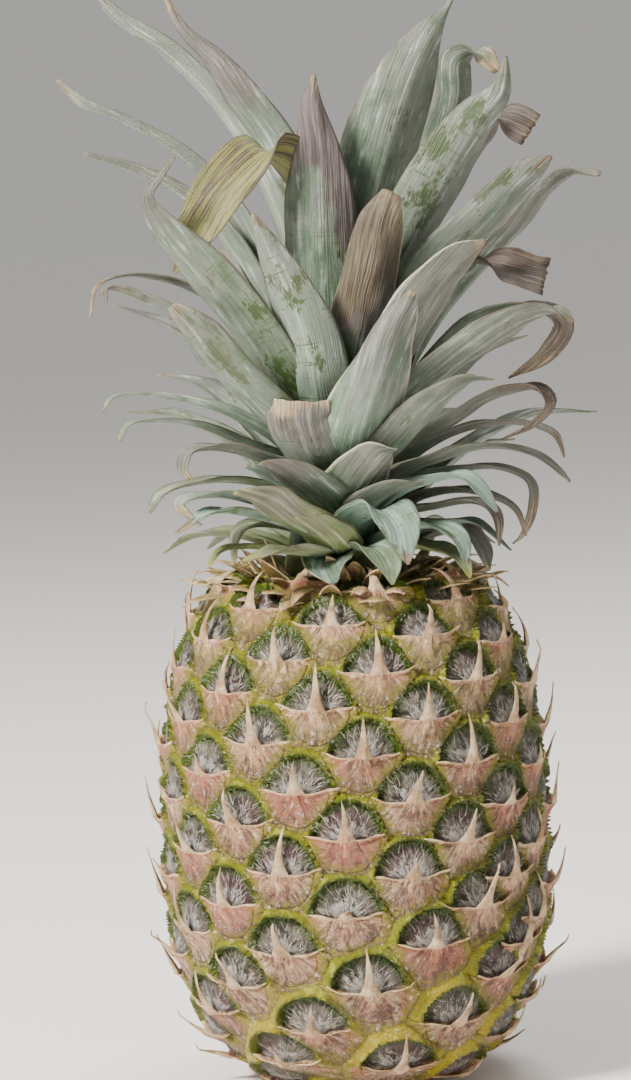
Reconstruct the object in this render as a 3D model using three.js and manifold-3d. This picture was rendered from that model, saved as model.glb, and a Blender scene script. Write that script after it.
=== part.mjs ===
// A whole fresh pineapple standing on the flat face where it was cut from its plant.
// Millimetres, +Z up, the front towards -Y. "Across" is +X and "out" is towards the front.

import * as THREE from 'three';
import { ConvexHull } from 'three/addons/math/ConvexHull.js';
import { mergeVertices } from 'three/addons/utils/BufferGeometryUtils.js';
import Module from 'manifold-3d';

const wasm = await Module();
wasm.setup();

// Fruit body: a barrel of revolution, narrower at the shoulders, flat below
const fruitRadius = 61.6;
const widestHeight = 76;
const lowerReach = 78.4;
const upperReach = 101;
const barrelPower = 2.65;
const fruitHeight = 163;
const topSoftness = 5;

// Eyes: one spiral with close to the golden angle between neighbours
const firstEye = -50;
const lastEye = 90;
const eyeTurn = 137.211;
const eyeStart = -7.69;
const eyeStartArc = 100.98;
const eyeArea = 473.4;
const eyeAreaLoss = 90.8;
const areaHeight = 160;
const twistSquare = 16.84;
const twistCube = -7.12;
const twistSpan = 50;
const rowTilt = 2.72;

// One low swelling at the front pushes the rows aside
const swell = { angle: 27.1, arc: 69.6, spread: 40, aside: 18.76, up: 9.47 };
const bareTopRadius = 25;
const bareBaseRadius = 30;
const baseRingRadius = 24;

// Relief of one eye, for a cell of the mean size
const meanCell = 471;
const grooveDepth = 2.3;
const ringCrest = 0.5;
const ringHalfWidth = 11.2;
const ringTop = 13;
const windowSink = 1.6;
const lipHeight = 1.3;
const spineOut = 8.5;
const spineUp = 7;
const spineHalfBase = 2.6;
const edgeKeep = 3;

// Crown stem and the cut stalk below
const crownStart = 163.2;
const stemRadius = 20;
const stemTopRadius = 4;
const stemTop = 236;
const stemSides = 12;
const rootSink = 3;
const rootNarrow = 0.55;
const stalkRadius = 12.2;
const stalkDepth = 5;
const fitGap = 0.3;
const mergeReach = 0.002;

// Blades
const bladeThick = 1.3;
const bladeEdgeThick = 0.8;
const extraSteps = 1;
const smallBladeSteps = 4;
const bladeCup = 38;
const tipCup = 0.65;
const leastHalfWidth = 0.6;

const deg = THREE.MathUtils.degToRad;

// The outline from the middle of the base to the middle of the top, by arc length
function bodyOutline() {
  const steps = 1600;
  const rows = [];
  let arc = 0;
  for (let i = 0; i <= steps; i += 1) {
    const turn = -Math.PI / 2 + (Math.PI * i) / steps;
    const r = fruitRadius * Math.abs(Math.cos(turn)) ** (2 / barrelPower);
    const rise = Math.abs(Math.sin(turn)) ** (2 / barrelPower);
    const raw = turn < 0 ? widestHeight - lowerReach * rise : widestHeight + upperReach * rise;
    const drop = fruitHeight - Math.max(raw, 0);
    const z = fruitHeight - (drop + Math.hypot(drop, topSoftness)) / 2;
    if (i > 0) {
      const last = rows[i - 1];
      arc += Math.hypot(r - last.r, z - last.z);
    }
    rows.push({ arc, r, z });
  }
  const floor = rows[0].z;
  rows.forEach((row) => { row.z -= floor; });
  return rows;
}

const outline = bodyOutline();
const fullArc = outline[outline.length - 1].arc;

function outlineAt(arc) {
  const wanted = THREE.MathUtils.clamp(arc, 0, fullArc);
  let low = 0;
  let high = outline.length - 1;
  while (high - low > 1) {
    const middle = (low + high) >> 1;
    if (outline[middle].arc > wanted) high = middle;
    else low = middle;
  }
  const a = outline[low];
  const b = outline[high];
  const t = (wanted - a.arc) / (b.arc - a.arc || 1);
  const r = a.r + (b.r - a.r) * t;
  const z = a.z + (b.z - a.z) * t;
  const length = Math.hypot(b.r - a.r, b.z - a.z) || 1;
  return { r, z, upR: (b.r - a.r) / length, upZ: (b.z - a.z) / length };
}

// A point of the skin, raised along the normal and pushed up along the skin
function skinPoint(angle, arc, raise = 0, push = 0) {
  const { r, z, upR, upZ } = outlineAt(arc);
  const radial = r + upZ * raise + upR * push;
  const height = Math.max(z - upR * raise + upZ * push, 0);
  return new THREE.Vector3(radial * Math.sin(angle), -radial * Math.cos(angle), height);
}

function eyeCentres() {
  const arcs = new Map([[0, eyeStartArc]]);
  for (const direction of [1, -1]) {
    let arc = eyeStartArc;
    for (let k = direction; k >= firstEye && k <= lastEye; k += direction) {
      const { r, z } = outlineAt(arc);
      const area = eyeArea - eyeAreaLoss * (z / areaHeight) ** 3;
      arc += (direction * area) / (2 * Math.PI * Math.max(12, r));
      if (arc < 0 || arc > fullArc) break;
      arcs.set(k, arc);
    }
  }
  const eyes = [];
  for (const [k, plainArc] of arcs) {
    const span = k / twistSpan;
    const turn = eyeStart + k * eyeTurn + twistSquare * span ** 2 + twistCube * span ** 3;
    let angle = deg(turn);
    let arc = plainArc + outlineAt(plainArc).r * Math.tan(deg(rowTilt)) * Math.sin(angle);
    const side = Math.atan2(Math.sin(angle - deg(swell.angle)), Math.cos(angle - deg(swell.angle)));
    const away = (side * fruitRadius / swell.spread) ** 2 + ((arc - swell.arc) / swell.spread) ** 2;
    const pull = Math.exp(-away);
    angle += (pull * swell.aside) / fruitRadius;
    arc += pull * swell.up;
    const { r, z } = outlineAt(arc);
    const bare = z > widestHeight ? bareTopRadius : bareBaseRadius;
    if (r > bare && arc > bare && arc < fullArc - bareTopRadius) {
      const area = eyeArea - eyeAreaLoss * (z / areaHeight) ** 3;
      eyes.push({ angle, arc, r, size: Math.sqrt(area / meanCell) });
    }
  }
  return eyes;
}

const eyes = eyeCentres();

function sphereDirection({ angle, arc }) {
  const polar = (Math.PI * arc) / fullArc;
  const ring = Math.sin(polar);
  return new THREE.Vector3(ring * Math.sin(angle), -ring * Math.cos(angle), -Math.cos(polar));
}

function angleBetween(a, b) {
  return Math.atan2(Math.sin(b - a), Math.cos(b - a));
}

// Distances from a point of the skin to its nearest and second nearest eye
function nearestEyes(angle, arc) {
  const { r } = outlineAt(arc);
  let first = Infinity;
  let second = Infinity;
  let owner = null;
  for (const eye of eyes) {
    const apart = Math.hypot(angleBetween(eye.angle, angle) * (r + eye.r) / 2, arc - eye.arc - 1.5);
    if (apart < first) {
      second = first;
      first = apart;
      owner = eye;
    } else if (apart < second) {
      second = apart;
    }
  }
  return { first, second, owner };
}

function hullTriangles(directions) {
  const hull = new ConvexHull().setFromPoints(directions);
  const index = new Map(directions.map((d, i) => [d, i]));
  const triangles = [];
  for (const face of hull.faces) {
    const corners = [];
    let edge = face.edge;
    do {
      corners.push(index.get(edge.head().point));
      edge = edge.next;
    } while (edge !== face.edge);
    for (let i = 1; i + 1 < corners.length; i += 1) {
      triangles.push([corners[0], corners[i], corners[i + 1]]);
    }
  }
  return triangles;
}

// Points where three eyes meet, and halfway between two neighbours: the grooves
function groovePoints() {
  const triangles = hullTriangles(eyes.map(sphereDirection));
  const points = [];
  const seen = new Set();
  const mean = (ids) => {
    const start = eyes[ids[0]];
    const count = ids.length;
    const angle = start.angle
      + ids.reduce((sum, id) => sum + angleBetween(start.angle, eyes[id].angle), 0) / count;
    const arc = 1.5 + ids.reduce((sum, id) => sum + eyes[id].arc, 0) / count;
    return { angle, arc };
  };
  for (const triangle of triangles) {
    const spread = Math.max(...triangle.map((id, i) => {
      const next = eyes[triangle[(i + 1) % 3]];
      return Math.hypot(angleBetween(eyes[id].angle, next.angle) * eyes[id].r, next.arc - eyes[id].arc);
    }));
    if (spread > 45) continue;
    points.push({ ...mean(triangle), raise: -grooveDepth - 0.5 });
    triangle.forEach((id, i) => {
      const pair = [id, triangle[(i + 1) % 3]].sort((a, b) => a - b);
      const key = pair.join('_');
      if (!seen.has(key)) points.push({ ...mean(pair), raise: -grooveDepth });
      seen.add(key);
    });
  }
  return points;
}

function eyePoints(eye) {
  const points = [];
  const add = (across, up, raise, push = 0) => {
    const arc = eye.arc + up * eye.size;
    const angle = eye.angle + (across * eye.size) / Math.max(outlineAt(arc).r, 12);
    const { first, second, owner } = nearestEyes(angle, arc);
    const spare = push > 0 ? 0 : edgeKeep;
    if (owner === eye && second - first > spare) points.push({ angle, arc, raise, push });
  };
  for (let i = 0; i <= 7; i += 1) {
    const turn = (Math.PI * i) / 7;
    add(ringHalfWidth * Math.cos(turn), 1.5 + (ringTop - 1.5) * Math.sin(turn), ringCrest);
  }
  for (let i = 0; i <= 4; i += 1) {
    const turn = (Math.PI * (i + 0.6)) / 5.2;
    add(0.66 * ringHalfWidth * Math.cos(turn), 1.8 + 0.6 * ringTop * Math.sin(turn), -windowSink);
  }
  for (const across of [-10.2, -5.6, 5.6, 10.2]) add(across, -0.6, lipHeight);
  add(-6.6, -5.4, 0.5 * lipHeight);
  add(6.6, -5.4, 0.5 * lipHeight);
  const narrow = spineHalfBase;
  add(-narrow, -3, lipHeight + 0.5);
  add(narrow, -3, lipHeight + 0.5);
  add(0, -0.3, lipHeight + 0.5);
  add(0, -5.6, lipHeight);
  const steep = Math.min(1, Math.max(0, (fullArc - eye.arc - 30) / 40));
  const low = Math.min(1, Math.max(0, (eye.arc - 30) / 30));
  add(0, -2.6, 3 + (spineOut - 3) * Math.min(steep, 0.4 + 0.6 * low), spineUp);
  return points;
}

// The fruit's skin, lifted all over by "extra" where room is wanted around it
function fruitShape(extra = 0) {
  const points = eyes.flatMap(eyePoints).concat(groovePoints());
  const ring = (radius, fromTop, count, raise) => {
    let arc = fromTop ? fullArc - radius : radius;
    arc = THREE.MathUtils.clamp(arc, 0, fullArc);
    for (let i = 0; i < count; i += 1) points.push({ angle: (2 * Math.PI * i) / count, arc, raise });
  };
  ring(0, true, 1, 0);
  ring(14, true, 8, 0);
  ring(bareTopRadius - 3, true, 14, -0.5);
  ring(0, false, 1, 0);
  ring(14, false, 10, 0);
  ring(baseRingRadius, false, 20, 0);
  const directions = points.map(sphereDirection);
  const triangles = hullTriangles(directions);
  const positions = points.map(({ angle, arc, raise, push = 0 }) => (
    skinPoint(angle, arc, raise + extra, push)));
  return meshOf(positions, triangles);
}

function meshOf(positions, triangles) {
  const geometry = new THREE.BufferGeometry();
  geometry.setAttribute('position', new THREE.Float32BufferAttribute(
    positions.flatMap((p) => [p.x, p.y, p.z]), 3));
  geometry.setIndex(triangles.flat());
  return geometry;
}

function toSolid(geometry) {
  const plain = geometry.clone();
  plain.deleteAttribute('normal');
  plain.deleteAttribute('uv');
  const merged = mergeVertices(plain, mergeReach);
  const vertProperties = new Float32Array(merged.attributes.position.array);
  const triVerts = new Uint32Array(merged.index.array);
  return new wasm.Manifold(new wasm.Mesh({ numProp: 3, vertProperties, triVerts }));
}

function fromSolid(solid) {
  const { vertProperties, triVerts } = solid.getMesh();
  const geometry = new THREE.BufferGeometry();
  geometry.setAttribute('position', new THREE.BufferAttribute(new Float32Array(vertProperties), 3));
  geometry.setIndex(new THREE.BufferAttribute(new Uint32Array(triVerts), 1));
  return geometry;
}

function upright(profile, sides) {
  const lathe = new THREE.LatheGeometry(profile.map(([r, z]) => new THREE.Vector2(r, z)), sides);
  return lathe.rotateX(Math.PI / 2);
}

function stemRadiusAt(z) {
  const t = THREE.MathUtils.clamp((z - crownStart) / (stemTop - crownStart), 0, 1);
  return stemRadius + (stemTopRadius - stemRadius) * t;
}

function stemShape(extra = 0) {
  const profile = [[0, crownStart - extra], [stemRadius - 1 + extra, crownStart - extra]];
  for (const z of [crownStart + 1.5, 185, 210, stemTop]) profile.push([stemRadiusAt(z) + extra, z]);
  profile.push([0, stemTop + 3 + extra]);
  return upright(profile, stemSides);
}

// A smooth curve through the knots of a blade, which carries the width along
function bladeRows(knots, steps) {
  const points = knots.map(([x, out, z]) => new THREE.Vector3(x, -out, z));
  const times = [0];
  for (let i = 1; i < points.length; i += 1) {
    times.push(times[i - 1] + Math.sqrt(points[i].distanceTo(points[i - 1])));
  }
  const curve = new THREE.CatmullRomCurve3(points, false, 'centripetal');
  const last = points.length - 1;
  const rows = [];
  for (let i = 0; i <= steps; i += 1) {
    const wanted = (times[last] * i) / steps;
    let part = 0;
    while (part < last - 1 && times[part + 1] < wanted) part += 1;
    const inside = (wanted - times[part]) / (times[part + 1] - times[part]);
    const t = (part + inside) / last;
    const ease = inside * inside * (3 - 2 * inside);
    const width = knots[part][3] + (knots[part + 1][3] - knots[part][3]) * ease;
    rows.push({ point: curve.getPoint(t), along: curve.getTangent(t), width, t: i / steps });
  }
  return rows;
}

function bladeShape({ knots, face, cup = bladeCup, steps = knots.length + extraSteps }, extra = 0) {
  const positions = [];
  for (const { point, along, width, t } of bladeRows(knots, steps)) {
    const heading = deg(face[0] + (face[1] - face[0]) * t);
    const across = new THREE.Vector3(Math.cos(heading), Math.sin(heading), 0);
    across.addScaledVector(along, -across.dot(along)).normalize();
    const inward = new THREE.Vector3().crossVectors(along, across);
    const half = Math.max(width / 2, leastHalfWidth) + extra;
    const bend = deg(cup) * (1 - (1 - tipCup) * t);
    const lift = (half / bend) * (1 - Math.cos(bend));
    const reach = (half / bend) * Math.sin(bend);
    const place = (side, up) => point.clone()
      .addScaledVector(across, side)
      .addScaledVector(inward, up);
    const middle = bladeThick / 2 + extra;
    const edge = bladeEdgeThick / 2 + extra;
    positions.push(place(-reach, lift + edge), place(0, middle), place(reach, lift + edge));
    positions.push(place(reach, lift - edge), place(0, -middle), place(-reach, lift - edge));
  }
  const triangles = [];
  const rowSize = 6;
  for (let i = 0; i < steps; i += 1) {
    for (let j = 0; j < rowSize; j += 1) {
      const a = i * rowSize + j;
      const b = i * rowSize + ((j + 1) % rowSize);
      triangles.push([a, b + rowSize, b], [a, a + rowSize, b + rowSize]);
    }
  }
  const end = steps * rowSize;
  triangles.push([0, 4, 5], [0, 1, 4], [1, 3, 4], [1, 2, 3]);
  triangles.push([end, end + 5, end + 4], [end, end + 4, end + 1]);
  triangles.push([end + 1, end + 4, end + 3], [end + 1, end + 3, end + 2]);
  return meshOf(positions, triangles);
}

// Where a blade leaves the stem: its heading and height, sunk a little into the stem
function rootKnot(heading, z, width) {
  const r = stemRadiusAt(z) - rootSink;
  return [r * Math.sin(deg(heading)), r * Math.cos(deg(heading)), z, width * rootNarrow];
}

// Each leaf: root heading, root height and width; then across, out, height and width at each
// further knot; then the heading that its face has at the root and at the tip
const leafList = {
  front_cut: [[-12, 186, 18], [[-9, 40, 201, 23], [-13, 47, 213, 23], [-13, 49, 220, 22]], [-20, -15]],
  front_curled: [[8, 181, 18],
    [[5, 44, 206, 26], [11, 54, 224, 24], [16, 57, 238, 17], [21, 57, 248, 9], [23, 55, 252, 3]], [15, 10]],
  front_short: [[6, 177, 18], [[3, 38, 190, 24], [8, 46, 198, 20], [13, 49, 203, 11], [17, 50, 204, 1.5]],
    [15, 20]],
  front_pale: [[-16, 193, 18],
    [[-7, 34, 219, 25], [-10, 42, 240, 21], [-15, 46, 255, 15], [-20, 48, 267, 8], [-24, 48, 277, 1.2]],
    [-15, -15]],
  left_large: [[-36, 186, 17],
    [[-17, 30, 221, 22], [-29, 38, 243, 23], [-41, 42, 259, 21], [-51, 44, 272, 14], [-56, 44, 283, 5],
      [-52, 44, 289, 3], [-47, 44, 295, 0.8]], [-45, -30]],
  left_broad: [[-32, 180, 16],
    [[-13, 34, 204, 20], [-25, 42, 219, 20], [-36, 45, 232, 18], [-44, 46, 243, 14], [-50, 46, 250, 4]],
    [-45, -30]],
  left_folded: [[-30, 206, 13],
    [[-4, 12, 253, 15], [-8, 18, 287, 16], [-19, 24, 296, 17], [-33, 30, 285, 18], [-42, 33, 272, 13],
      [-49, 34, 260, 1.5]], [-25, 0]],
  middle_dark: [[-14, 203, 17],
    [[-4, 18, 240, 24], [-4, 22, 265, 24.5], [-4, 24, 282, 23], [-4, 25, 296, 15], [-5, 25, 310, 7],
      [-4, 25, 319, 1]], [-10, 0]],
  middle_dried: [[12, 196, 17],
    [[3, 30, 225, 20], [8, 38, 246, 22], [12, 42, 263, 21], [15, 44, 275, 17], [18, 42, 282, 8]], [15, 10]],
  top_large: [[28, 208, 17],
    [[5, 8, 249, 26], [13, 12, 283, 28], [20, 14, 304, 26.5], [27, 15, 321, 19], [33, 15, 332, 9],
      [37, 14, 337, 3], [43, 14, 347, 1]], [30, 10]],
  top_behind: [[120, 208, 15],
    [[20, -16, 261, 20], [35, -16, 295, 17], [41, -14, 312, 14], [42, -12, 323, 12], [48, -10, 325, 10],
      [54, -8, 319, 3]], [60, 10]],
  top_left_dark: [[-70, 208, 13],
    [[-6, 0, 263, 17], [-17, 0, 297, 16], [-27, 2, 313, 14], [-36, 3, 326, 8], [-45, 3, 336, 4],
      [-51, 3, 349, 1.2]], [-50, -10]],
  top_left_pale: [[-120, 207, 11],
    [[-15, -14, 270, 12], [-31, -14, 307, 11], [-50, -12, 329, 9.5], [-65, -10, 340, 6.5],
      [-73, -8, 350, 1.5]], [-60, -20]],
  far_left_high: [[-112, 199, 10],
    [[-17, -14, 240, 11], [-31, -14, 277, 10], [-48, -12, 297, 8.5], [-67, -10, 309, 6],
      [-78, -10, 314, 5], [-86, -10, 322, 1]], [-60, -25]],
  far_left_middle: [[-95, 195, 11],
    [[-15, -10, 227, 12], [-30, -10, 263, 11], [-45, -8, 282, 9], [-62, -6, 292, 7.5], [-78, -4, 298, 2.5]],
    [-60, -30]],
  right_large: [[42, 203, 17],
    [[13, 20, 246, 23], [25, 26, 269, 25], [37, 30, 290, 23], [46, 31, 303, 16], [53, 31, 311, 8],
      [55, 31, 322, 1]], [45, 20]],
  right_cut_high: [[100, 204, 13],
    [[28, -16, 264, 16], [46, -14, 298, 16], [54, -12, 304, 16], [64, -10, 299, 15]], [70, 10]],
  right_high: [[52, 195, 16],
    [[18, 22, 236, 20], [32, 28, 258, 20], [47, 30, 272, 19], [58, 30, 283, 14], [64, 29, 288, 8],
      [68, 28, 291, 1.5]], [50, 25]],
  right_thin_cut: [[118, 199, 10],
    [[33, -20, 241, 11], [60, -20, 270, 10], [69, -18, 281, 9], [77, -16, 286, 8], [86, -14, 285, 7.5]],
    [70, 20]],
  right_middle: [[30, 189, 17],
    [[11, 34, 219, 21], [21, 42, 238, 21], [30, 45, 252, 18], [39, 46, 261, 12], [46, 46, 266, 1.5]],
    [35, 25]],
  right_flag: [[76, 196, 13],
    [[20, 6, 236, 15], [36, 12, 256, 15], [47, 14, 259, 12], [56, 14, 256, 15], [66, 14, 253, 15]],
    [60, 10]],
  right_arched: [[45, 185, 16],
    [[15, 26, 210, 19], [31, 32, 225, 18], [47, 34, 236, 16], [59, 33, 242, 11], [69, 31, 243, 5],
      [73, 30, 240, 0.8]], [45, 20]],
  right_folded: [[80, 188, 14],
    [[25, 8, 218, 15], [45, 12, 240, 15], [62, 14, 244, 12], [70, 14, 239, 10], [65, 14, 231, 9],
      [53, 14, 223, 1]], [65, 30]],
  right_low: [[28, 180, 16],
    [[10, 34, 197, 20], [20, 42, 208, 19], [30, 46, 218, 14], [40, 47, 224, 7], [47, 46, 224, 1]],
    [40, 30]],
  right_hooked: [[62, 182, 13],
    [[18, 16, 200, 14], [34, 20, 209, 13], [50, 21, 218, 11], [62, 20, 219, 9], [65, 20, 215, 7],
      [58, 19, 208, 5], [50, 18, 204, 1]], [60, 50]],
  right_slender: [[98, 182, 11],
    [[25, -6, 199, 12], [44, -4, 207, 10], [59, -4, 207, 6], [68, -4, 203, 4.5], [71, -4, 196, 0.8]],
    [75, 50]],
  right_long: [[55, 178, 13],
    [[18, 18, 193, 15], [32, 22, 199, 12], [46, 22, 202, 7], [60, 21, 199, 4.5], [68, 20, 193, 3],
      [71, 20, 190, 0.8]], [55, 40]],
  right_drooping: [[80, 176, 11],
    [[21, 4, 190, 12], [37, 6, 194, 9], [50, 6, 194, 6], [59, 6, 189, 6], [59, 6, 181, 6],
      [56, 6, 173, 3], [53, 6, 170, 0.6]], [70, 50]],
  right_small_a: [[36, 176, 13], [[14, 30, 187, 14], [27, 37, 193, 11], [37, 39, 194, 8], [43, 39, 189, 5.5],
    [47, 38, 183, 1]], [45, 35]],
  right_small_b: [[68, 173, 11], [[21, 10, 184, 12], [35, 13, 188, 9], [48, 13, 185, 6], [54, 13, 181, 4],
    [57, 13, 173, 1]], [65, 50]],
  right_small_c: [[50, 172, 11], [[17, 18, 181, 12], [30, 22, 184, 10], [41, 22, 185, 7], [47, 22, 181, 6],
    [48, 22, 171, 1]], [60, 45]],
  right_grey: [[22, 174, 14], [[8, 36, 185, 18], [16, 42, 191, 14], [25, 44, 193, 3]], [35, 30]],
  front_drooping: [[12, 171, 14], [[5, 38, 182, 17], [13, 46, 185, 17], [17, 50, 180, 13], [19, 50, 169, 1]],
    [20, 10]],
  left_olive: [[-18, 169, 16], [[-8, 40, 177, 22], [-16, 48, 183, 22], [-25, 52, 190, 16], [-33, 53, 193, 3]],
    [-30, -30]],
  front_olive: [[-6, 168, 15], [[-3, 40, 174, 18], [-8, 48, 180, 16], [-15, 51, 185, 4]], [-10, -20]],
  left_grey: [[-14, 177, 16], [[-6, 36, 187, 21], [-13, 44, 194, 19], [-22, 47, 200, 8], [-25, 47, 201, 2]],
    [-25, -25]],
  left_white: [[-34, 176, 12], [[-13, 30, 189, 14], [-24, 36, 197, 11], [-30, 38, 200, 3]], [-40, -30]],
  left_long_a: [[-46, 183, 13],
    [[-16, 24, 202, 15], [-31, 30, 214, 11], [-46, 32, 220, 8], [-63, 32, 223, 4.5], [-70, 32, 222, 2.5],
      [-73, 32, 218, 0.8]], [-55, -40]],
  left_long_b: [[-62, 179, 12],
    [[-16, 14, 196, 12], [-32, 18, 206, 10], [-45, 19, 212, 7], [-59, 19, 214, 4.5], [-66, 19, 213, 3.5],
      [-69, 19, 208, 2]], [-60, -45]],
  left_hooked: [[-48, 177, 12],
    [[-15, 20, 194, 14], [-28, 26, 202, 12], [-40, 28, 205, 10], [-47, 28, 204, 7], [-49, 28, 200, 5],
      [-47, 28, 196, 2]], [-55, -40]],
  left_arched: [[-66, 174, 11], [[-14, 10, 187, 12], [-29, 14, 193, 9.5], [-43, 15, 194, 8],
    [-56, 15, 191, 6.5], [-61, 15, 185, 3]], [-65, -45]],
  left_silver: [[-38, 171, 12], [[-14, 26, 182, 14], [-27, 33, 188, 12], [-39, 35, 191, 9],
    [-50, 35, 189, 5], [-44, 35, 182, 1]], [-50, -30]],
  far_left_low_a: [[-118, 191, 11], [[-22, -20, 233, 12], [-45, -18, 253, 9], [-66, -16, 259, 4.5],
    [-76, -15, 256, 3], [-79, -15, 246, 0.8]], [-70, -50]],
  far_left_low_b: [[-96, 188, 12], [[-22, -12, 222, 13], [-42, -12, 239, 11], [-59, -10, 250, 9],
    [-73, -10, 255, 3.5], [-73, -10, 251, 0.6]], [-65, -35]],
};

// The small leaves round the foot of the crown grow into one piece with its stem
const basalList = {
  front_flap: [[-7, 166, 14], [[-5, 36, 170, 17], [-6, 44, 168, 14], [-4, 49, 164, 3]], [-10, 0]],
  front_tongue: [[7, 167, 13], [[5, 36, 173, 16], [10, 44, 173, 14], [13, 48, 169, 9], [14, 50, 163, 1]],
    [15, 10]],
  left_shoulder: [[-24, 166, 13], [[-11, 40, 172, 15], [-21, 48, 174, 12], [-31, 50, 172, 2]], [-40, -30]],
  left_thin: [[-48, 167, 9], [[-17, 20, 171, 9], [-31, 26, 174, 7], [-39, 28, 173, 4], [-43, 28, 168, 0.8]],
    [-60, -40]],
  left_teal: [[-60, 169, 11],
    [[-15, 22, 178, 12], [-28, 32, 184, 11], [-40, 36, 186, 8], [-52, 38, 180, 1.2]], [-50, -35]],
  left_dark: [[-75, 168, 12], [[-14, 12, 176, 14], [-26, 18, 180, 12], [-33, 20, 178, 7], [-35, 20, 168, 1]],
    [-60, -40]],
  right_teal: [[32, 169, 13], [[17, 30, 177, 14], [28, 37, 179, 12], [35, 40, 175, 8], [37, 42, 168, 2]],
    [50, 35]],
  right_yellow: [[44, 166, 11], [[20, 26, 172, 12], [30, 34, 171, 10], [36, 38, 168, 6], [38, 39, 163, 1]],
    [50, 30]],
  right_dark: [[88, 168, 11], [[24, 4, 175, 12], [38, 8, 175, 10], [43, 9, 169, 8], [45, 9, 162, 1.5]],
    [65, 40]],
  right_thin: [[66, 169, 10], [[19, 12, 176, 11], [30, 16, 178, 9], [41, 17, 178, 6], [52, 17, 169, 0.8]],
    [65, 50]],
};

// Leaves at the back, out of the front view, are spread by the golden ratio
const backLeaves = 13;
const backSpread = 156;
const goldenShare = 0.618034;
const skirtLeaves = 6;
const backBasal = 9;
const heartLeaves = 4;
const heartTurn = 137.508;

function backLeaf(i) {
  const step = i / (backLeaves - 1);
  const heading = 180 + backSpread * (((i + 1) * goldenShare) % 1 - 0.5);
  const shape = { rootZ: 207 - 32 * step, lean: 14 + 32 * step, bow: 22 + 36 * step };
  return archedBlade({ ...shape, heading, length: 104 - 20 * step, width: 24 - 7 * step });
}

// Short leaves behind, which hide the stem between the large leaves and the foot
function skirtLeaf(i) {
  const heading = 180 + 132 * (i / (skirtLeaves - 1) - 0.5);
  const shape = { heading, rootZ: 175 + 5 * (i % 2), lean: 44, bow: 52 };
  return archedBlade({ ...shape, length: 56 + 9 * (i % 3), width: 18 });
}

function basalBackLeaf(i) {
  const heading = 112 + (i * 136) / (backBasal - 1);
  return archedBlade({ heading, rootZ: 167, lean: 68, bow: 62, length: 38 + 6 * (i % 3), width: 14 });
}

function archedBlade({ heading, rootZ, lean, bow, length, width }) {
  const knots = [];
  const pieces = 4;
  let radius = stemRadiusAt(rootZ) - rootSink;
  let z = rootZ;
  for (let j = 0; j <= pieces; j += 1) {
    const t = j / pieces;
    const taper = width * (rootNarrow + (1 - rootNarrow) * Math.min(1, t / 0.3)) * (1 - t ** 3) + 1;
    knots.push([radius * Math.sin(deg(heading)), radius * Math.cos(deg(heading)), z, taper]);
    const tilt = deg(lean + bow * ((j + 0.5) / pieces) ** 2);
    radius += (length / pieces) * Math.sin(tilt);
    z += (length / pieces) * Math.cos(tilt);
  }
  return { knots, face: [heading, heading] };
}

function listedBlade([root, further, face]) {
  return { knots: [rootKnot(...root), ...further], face };
}

// The youngest leaves stand close together at the top of the stem
function heartBlade(i) {
  const heading = i * heartTurn;
  return archedBlade({ heading, rootZ: 222 - 3 * i, lean: 4 + i, bow: 8, length: 52 - 3 * i, width: 11 });
}

// The biggest closed shell of a solid: loose scraps go, and sealed pockets are filled
function outerShell(solid) {
  const shells = toSolid(fromSolid(solid)).decompose();
  return shells.reduce((best, shell) => (shell.volume() > best.volume() ? shell : best));
}

function crownStem(extra = 0) {
  const blades = Object.values(basalList).map(listedBlade);
  for (let i = 0; i < backBasal; i += 1) blades.push(basalBackLeaf(i));
  for (let i = 0; i < skirtLeaves; i += 1) blades.push(skirtLeaf(i));
  for (let i = 0; i < heartLeaves; i += 1) blades.push(heartBlade(i));
  let solid = toSolid(stemShape(extra));
  for (const blade of blades) {
    solid = solid.add(toSolid(bladeShape({ ...blade, steps: smallBladeSteps }, extra)));
  }
  return solid;
}

function material(color, roughness) {
  return new THREE.MeshStandardMaterial({ color, roughness, metalness: 0 });
}

const skinPaint = material(0x8a7a3c, 0.5);
const leafPaint = material(0x8b9a86, 0.6);
const stemPaint = material(0x98a36a, 0.65);
const stalkPaint = material(0xb79c68, 0.8);

const group = new THREE.Group();

function addMesh(name, solid, paint) {
  const mesh = new THREE.Mesh(fromSolid(solid), paint);
  mesh.name = name;
  group.add(mesh);
}

function buildFruit() {
  const recess = upright([[0, -1], [stalkRadius + fitGap, -1],
    [stalkRadius + fitGap, stalkDepth], [0, stalkDepth]], 24);
  const body = toSolid(fruitShape()).subtract(toSolid(recess));
  addMesh('fruit', outerShell(body), skinPaint);
  const stub = upright([[0, 0], [stalkRadius, 0], [stalkRadius, stalkDepth - fitGap],
    [0, stalkDepth - fitGap]], 24);
  addMesh('stalk_stub', toSolid(stub), stalkPaint);
}

// Front leaves are whole. A leaf behind gives way where it would cross one already placed.
function buildCrown() {
  const fruitRoom = toSolid(fruitShape(fitGap));
  addMesh('crown_stem', outerShell(crownStem().subtract(fruitRoom)), stemPaint);
  let taken = crownStem(fitGap).add(fruitRoom);
  const blades = Object.entries(leafList).map(([name, row]) => ({ name, ...listedBlade(row) }));
  for (let i = 0; i < backLeaves; i += 1) blades.push({ name: `back_${i + 1}`, ...backLeaf(i) });
  for (const blade of blades) {
    const whole = toSolid(bladeShape(blade));
    addMesh(`leaf_${blade.name}`, outerShell(whole.subtract(taken)), leafPaint);
    taken = taken.add(toSolid(bladeShape(blade, fitGap)));
  }
}

buildFruit();
buildCrown();

export default group;
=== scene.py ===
import math
import time

import bmesh
import bpy
import numpy as np
from mathutils import Matrix, Vector


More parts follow.
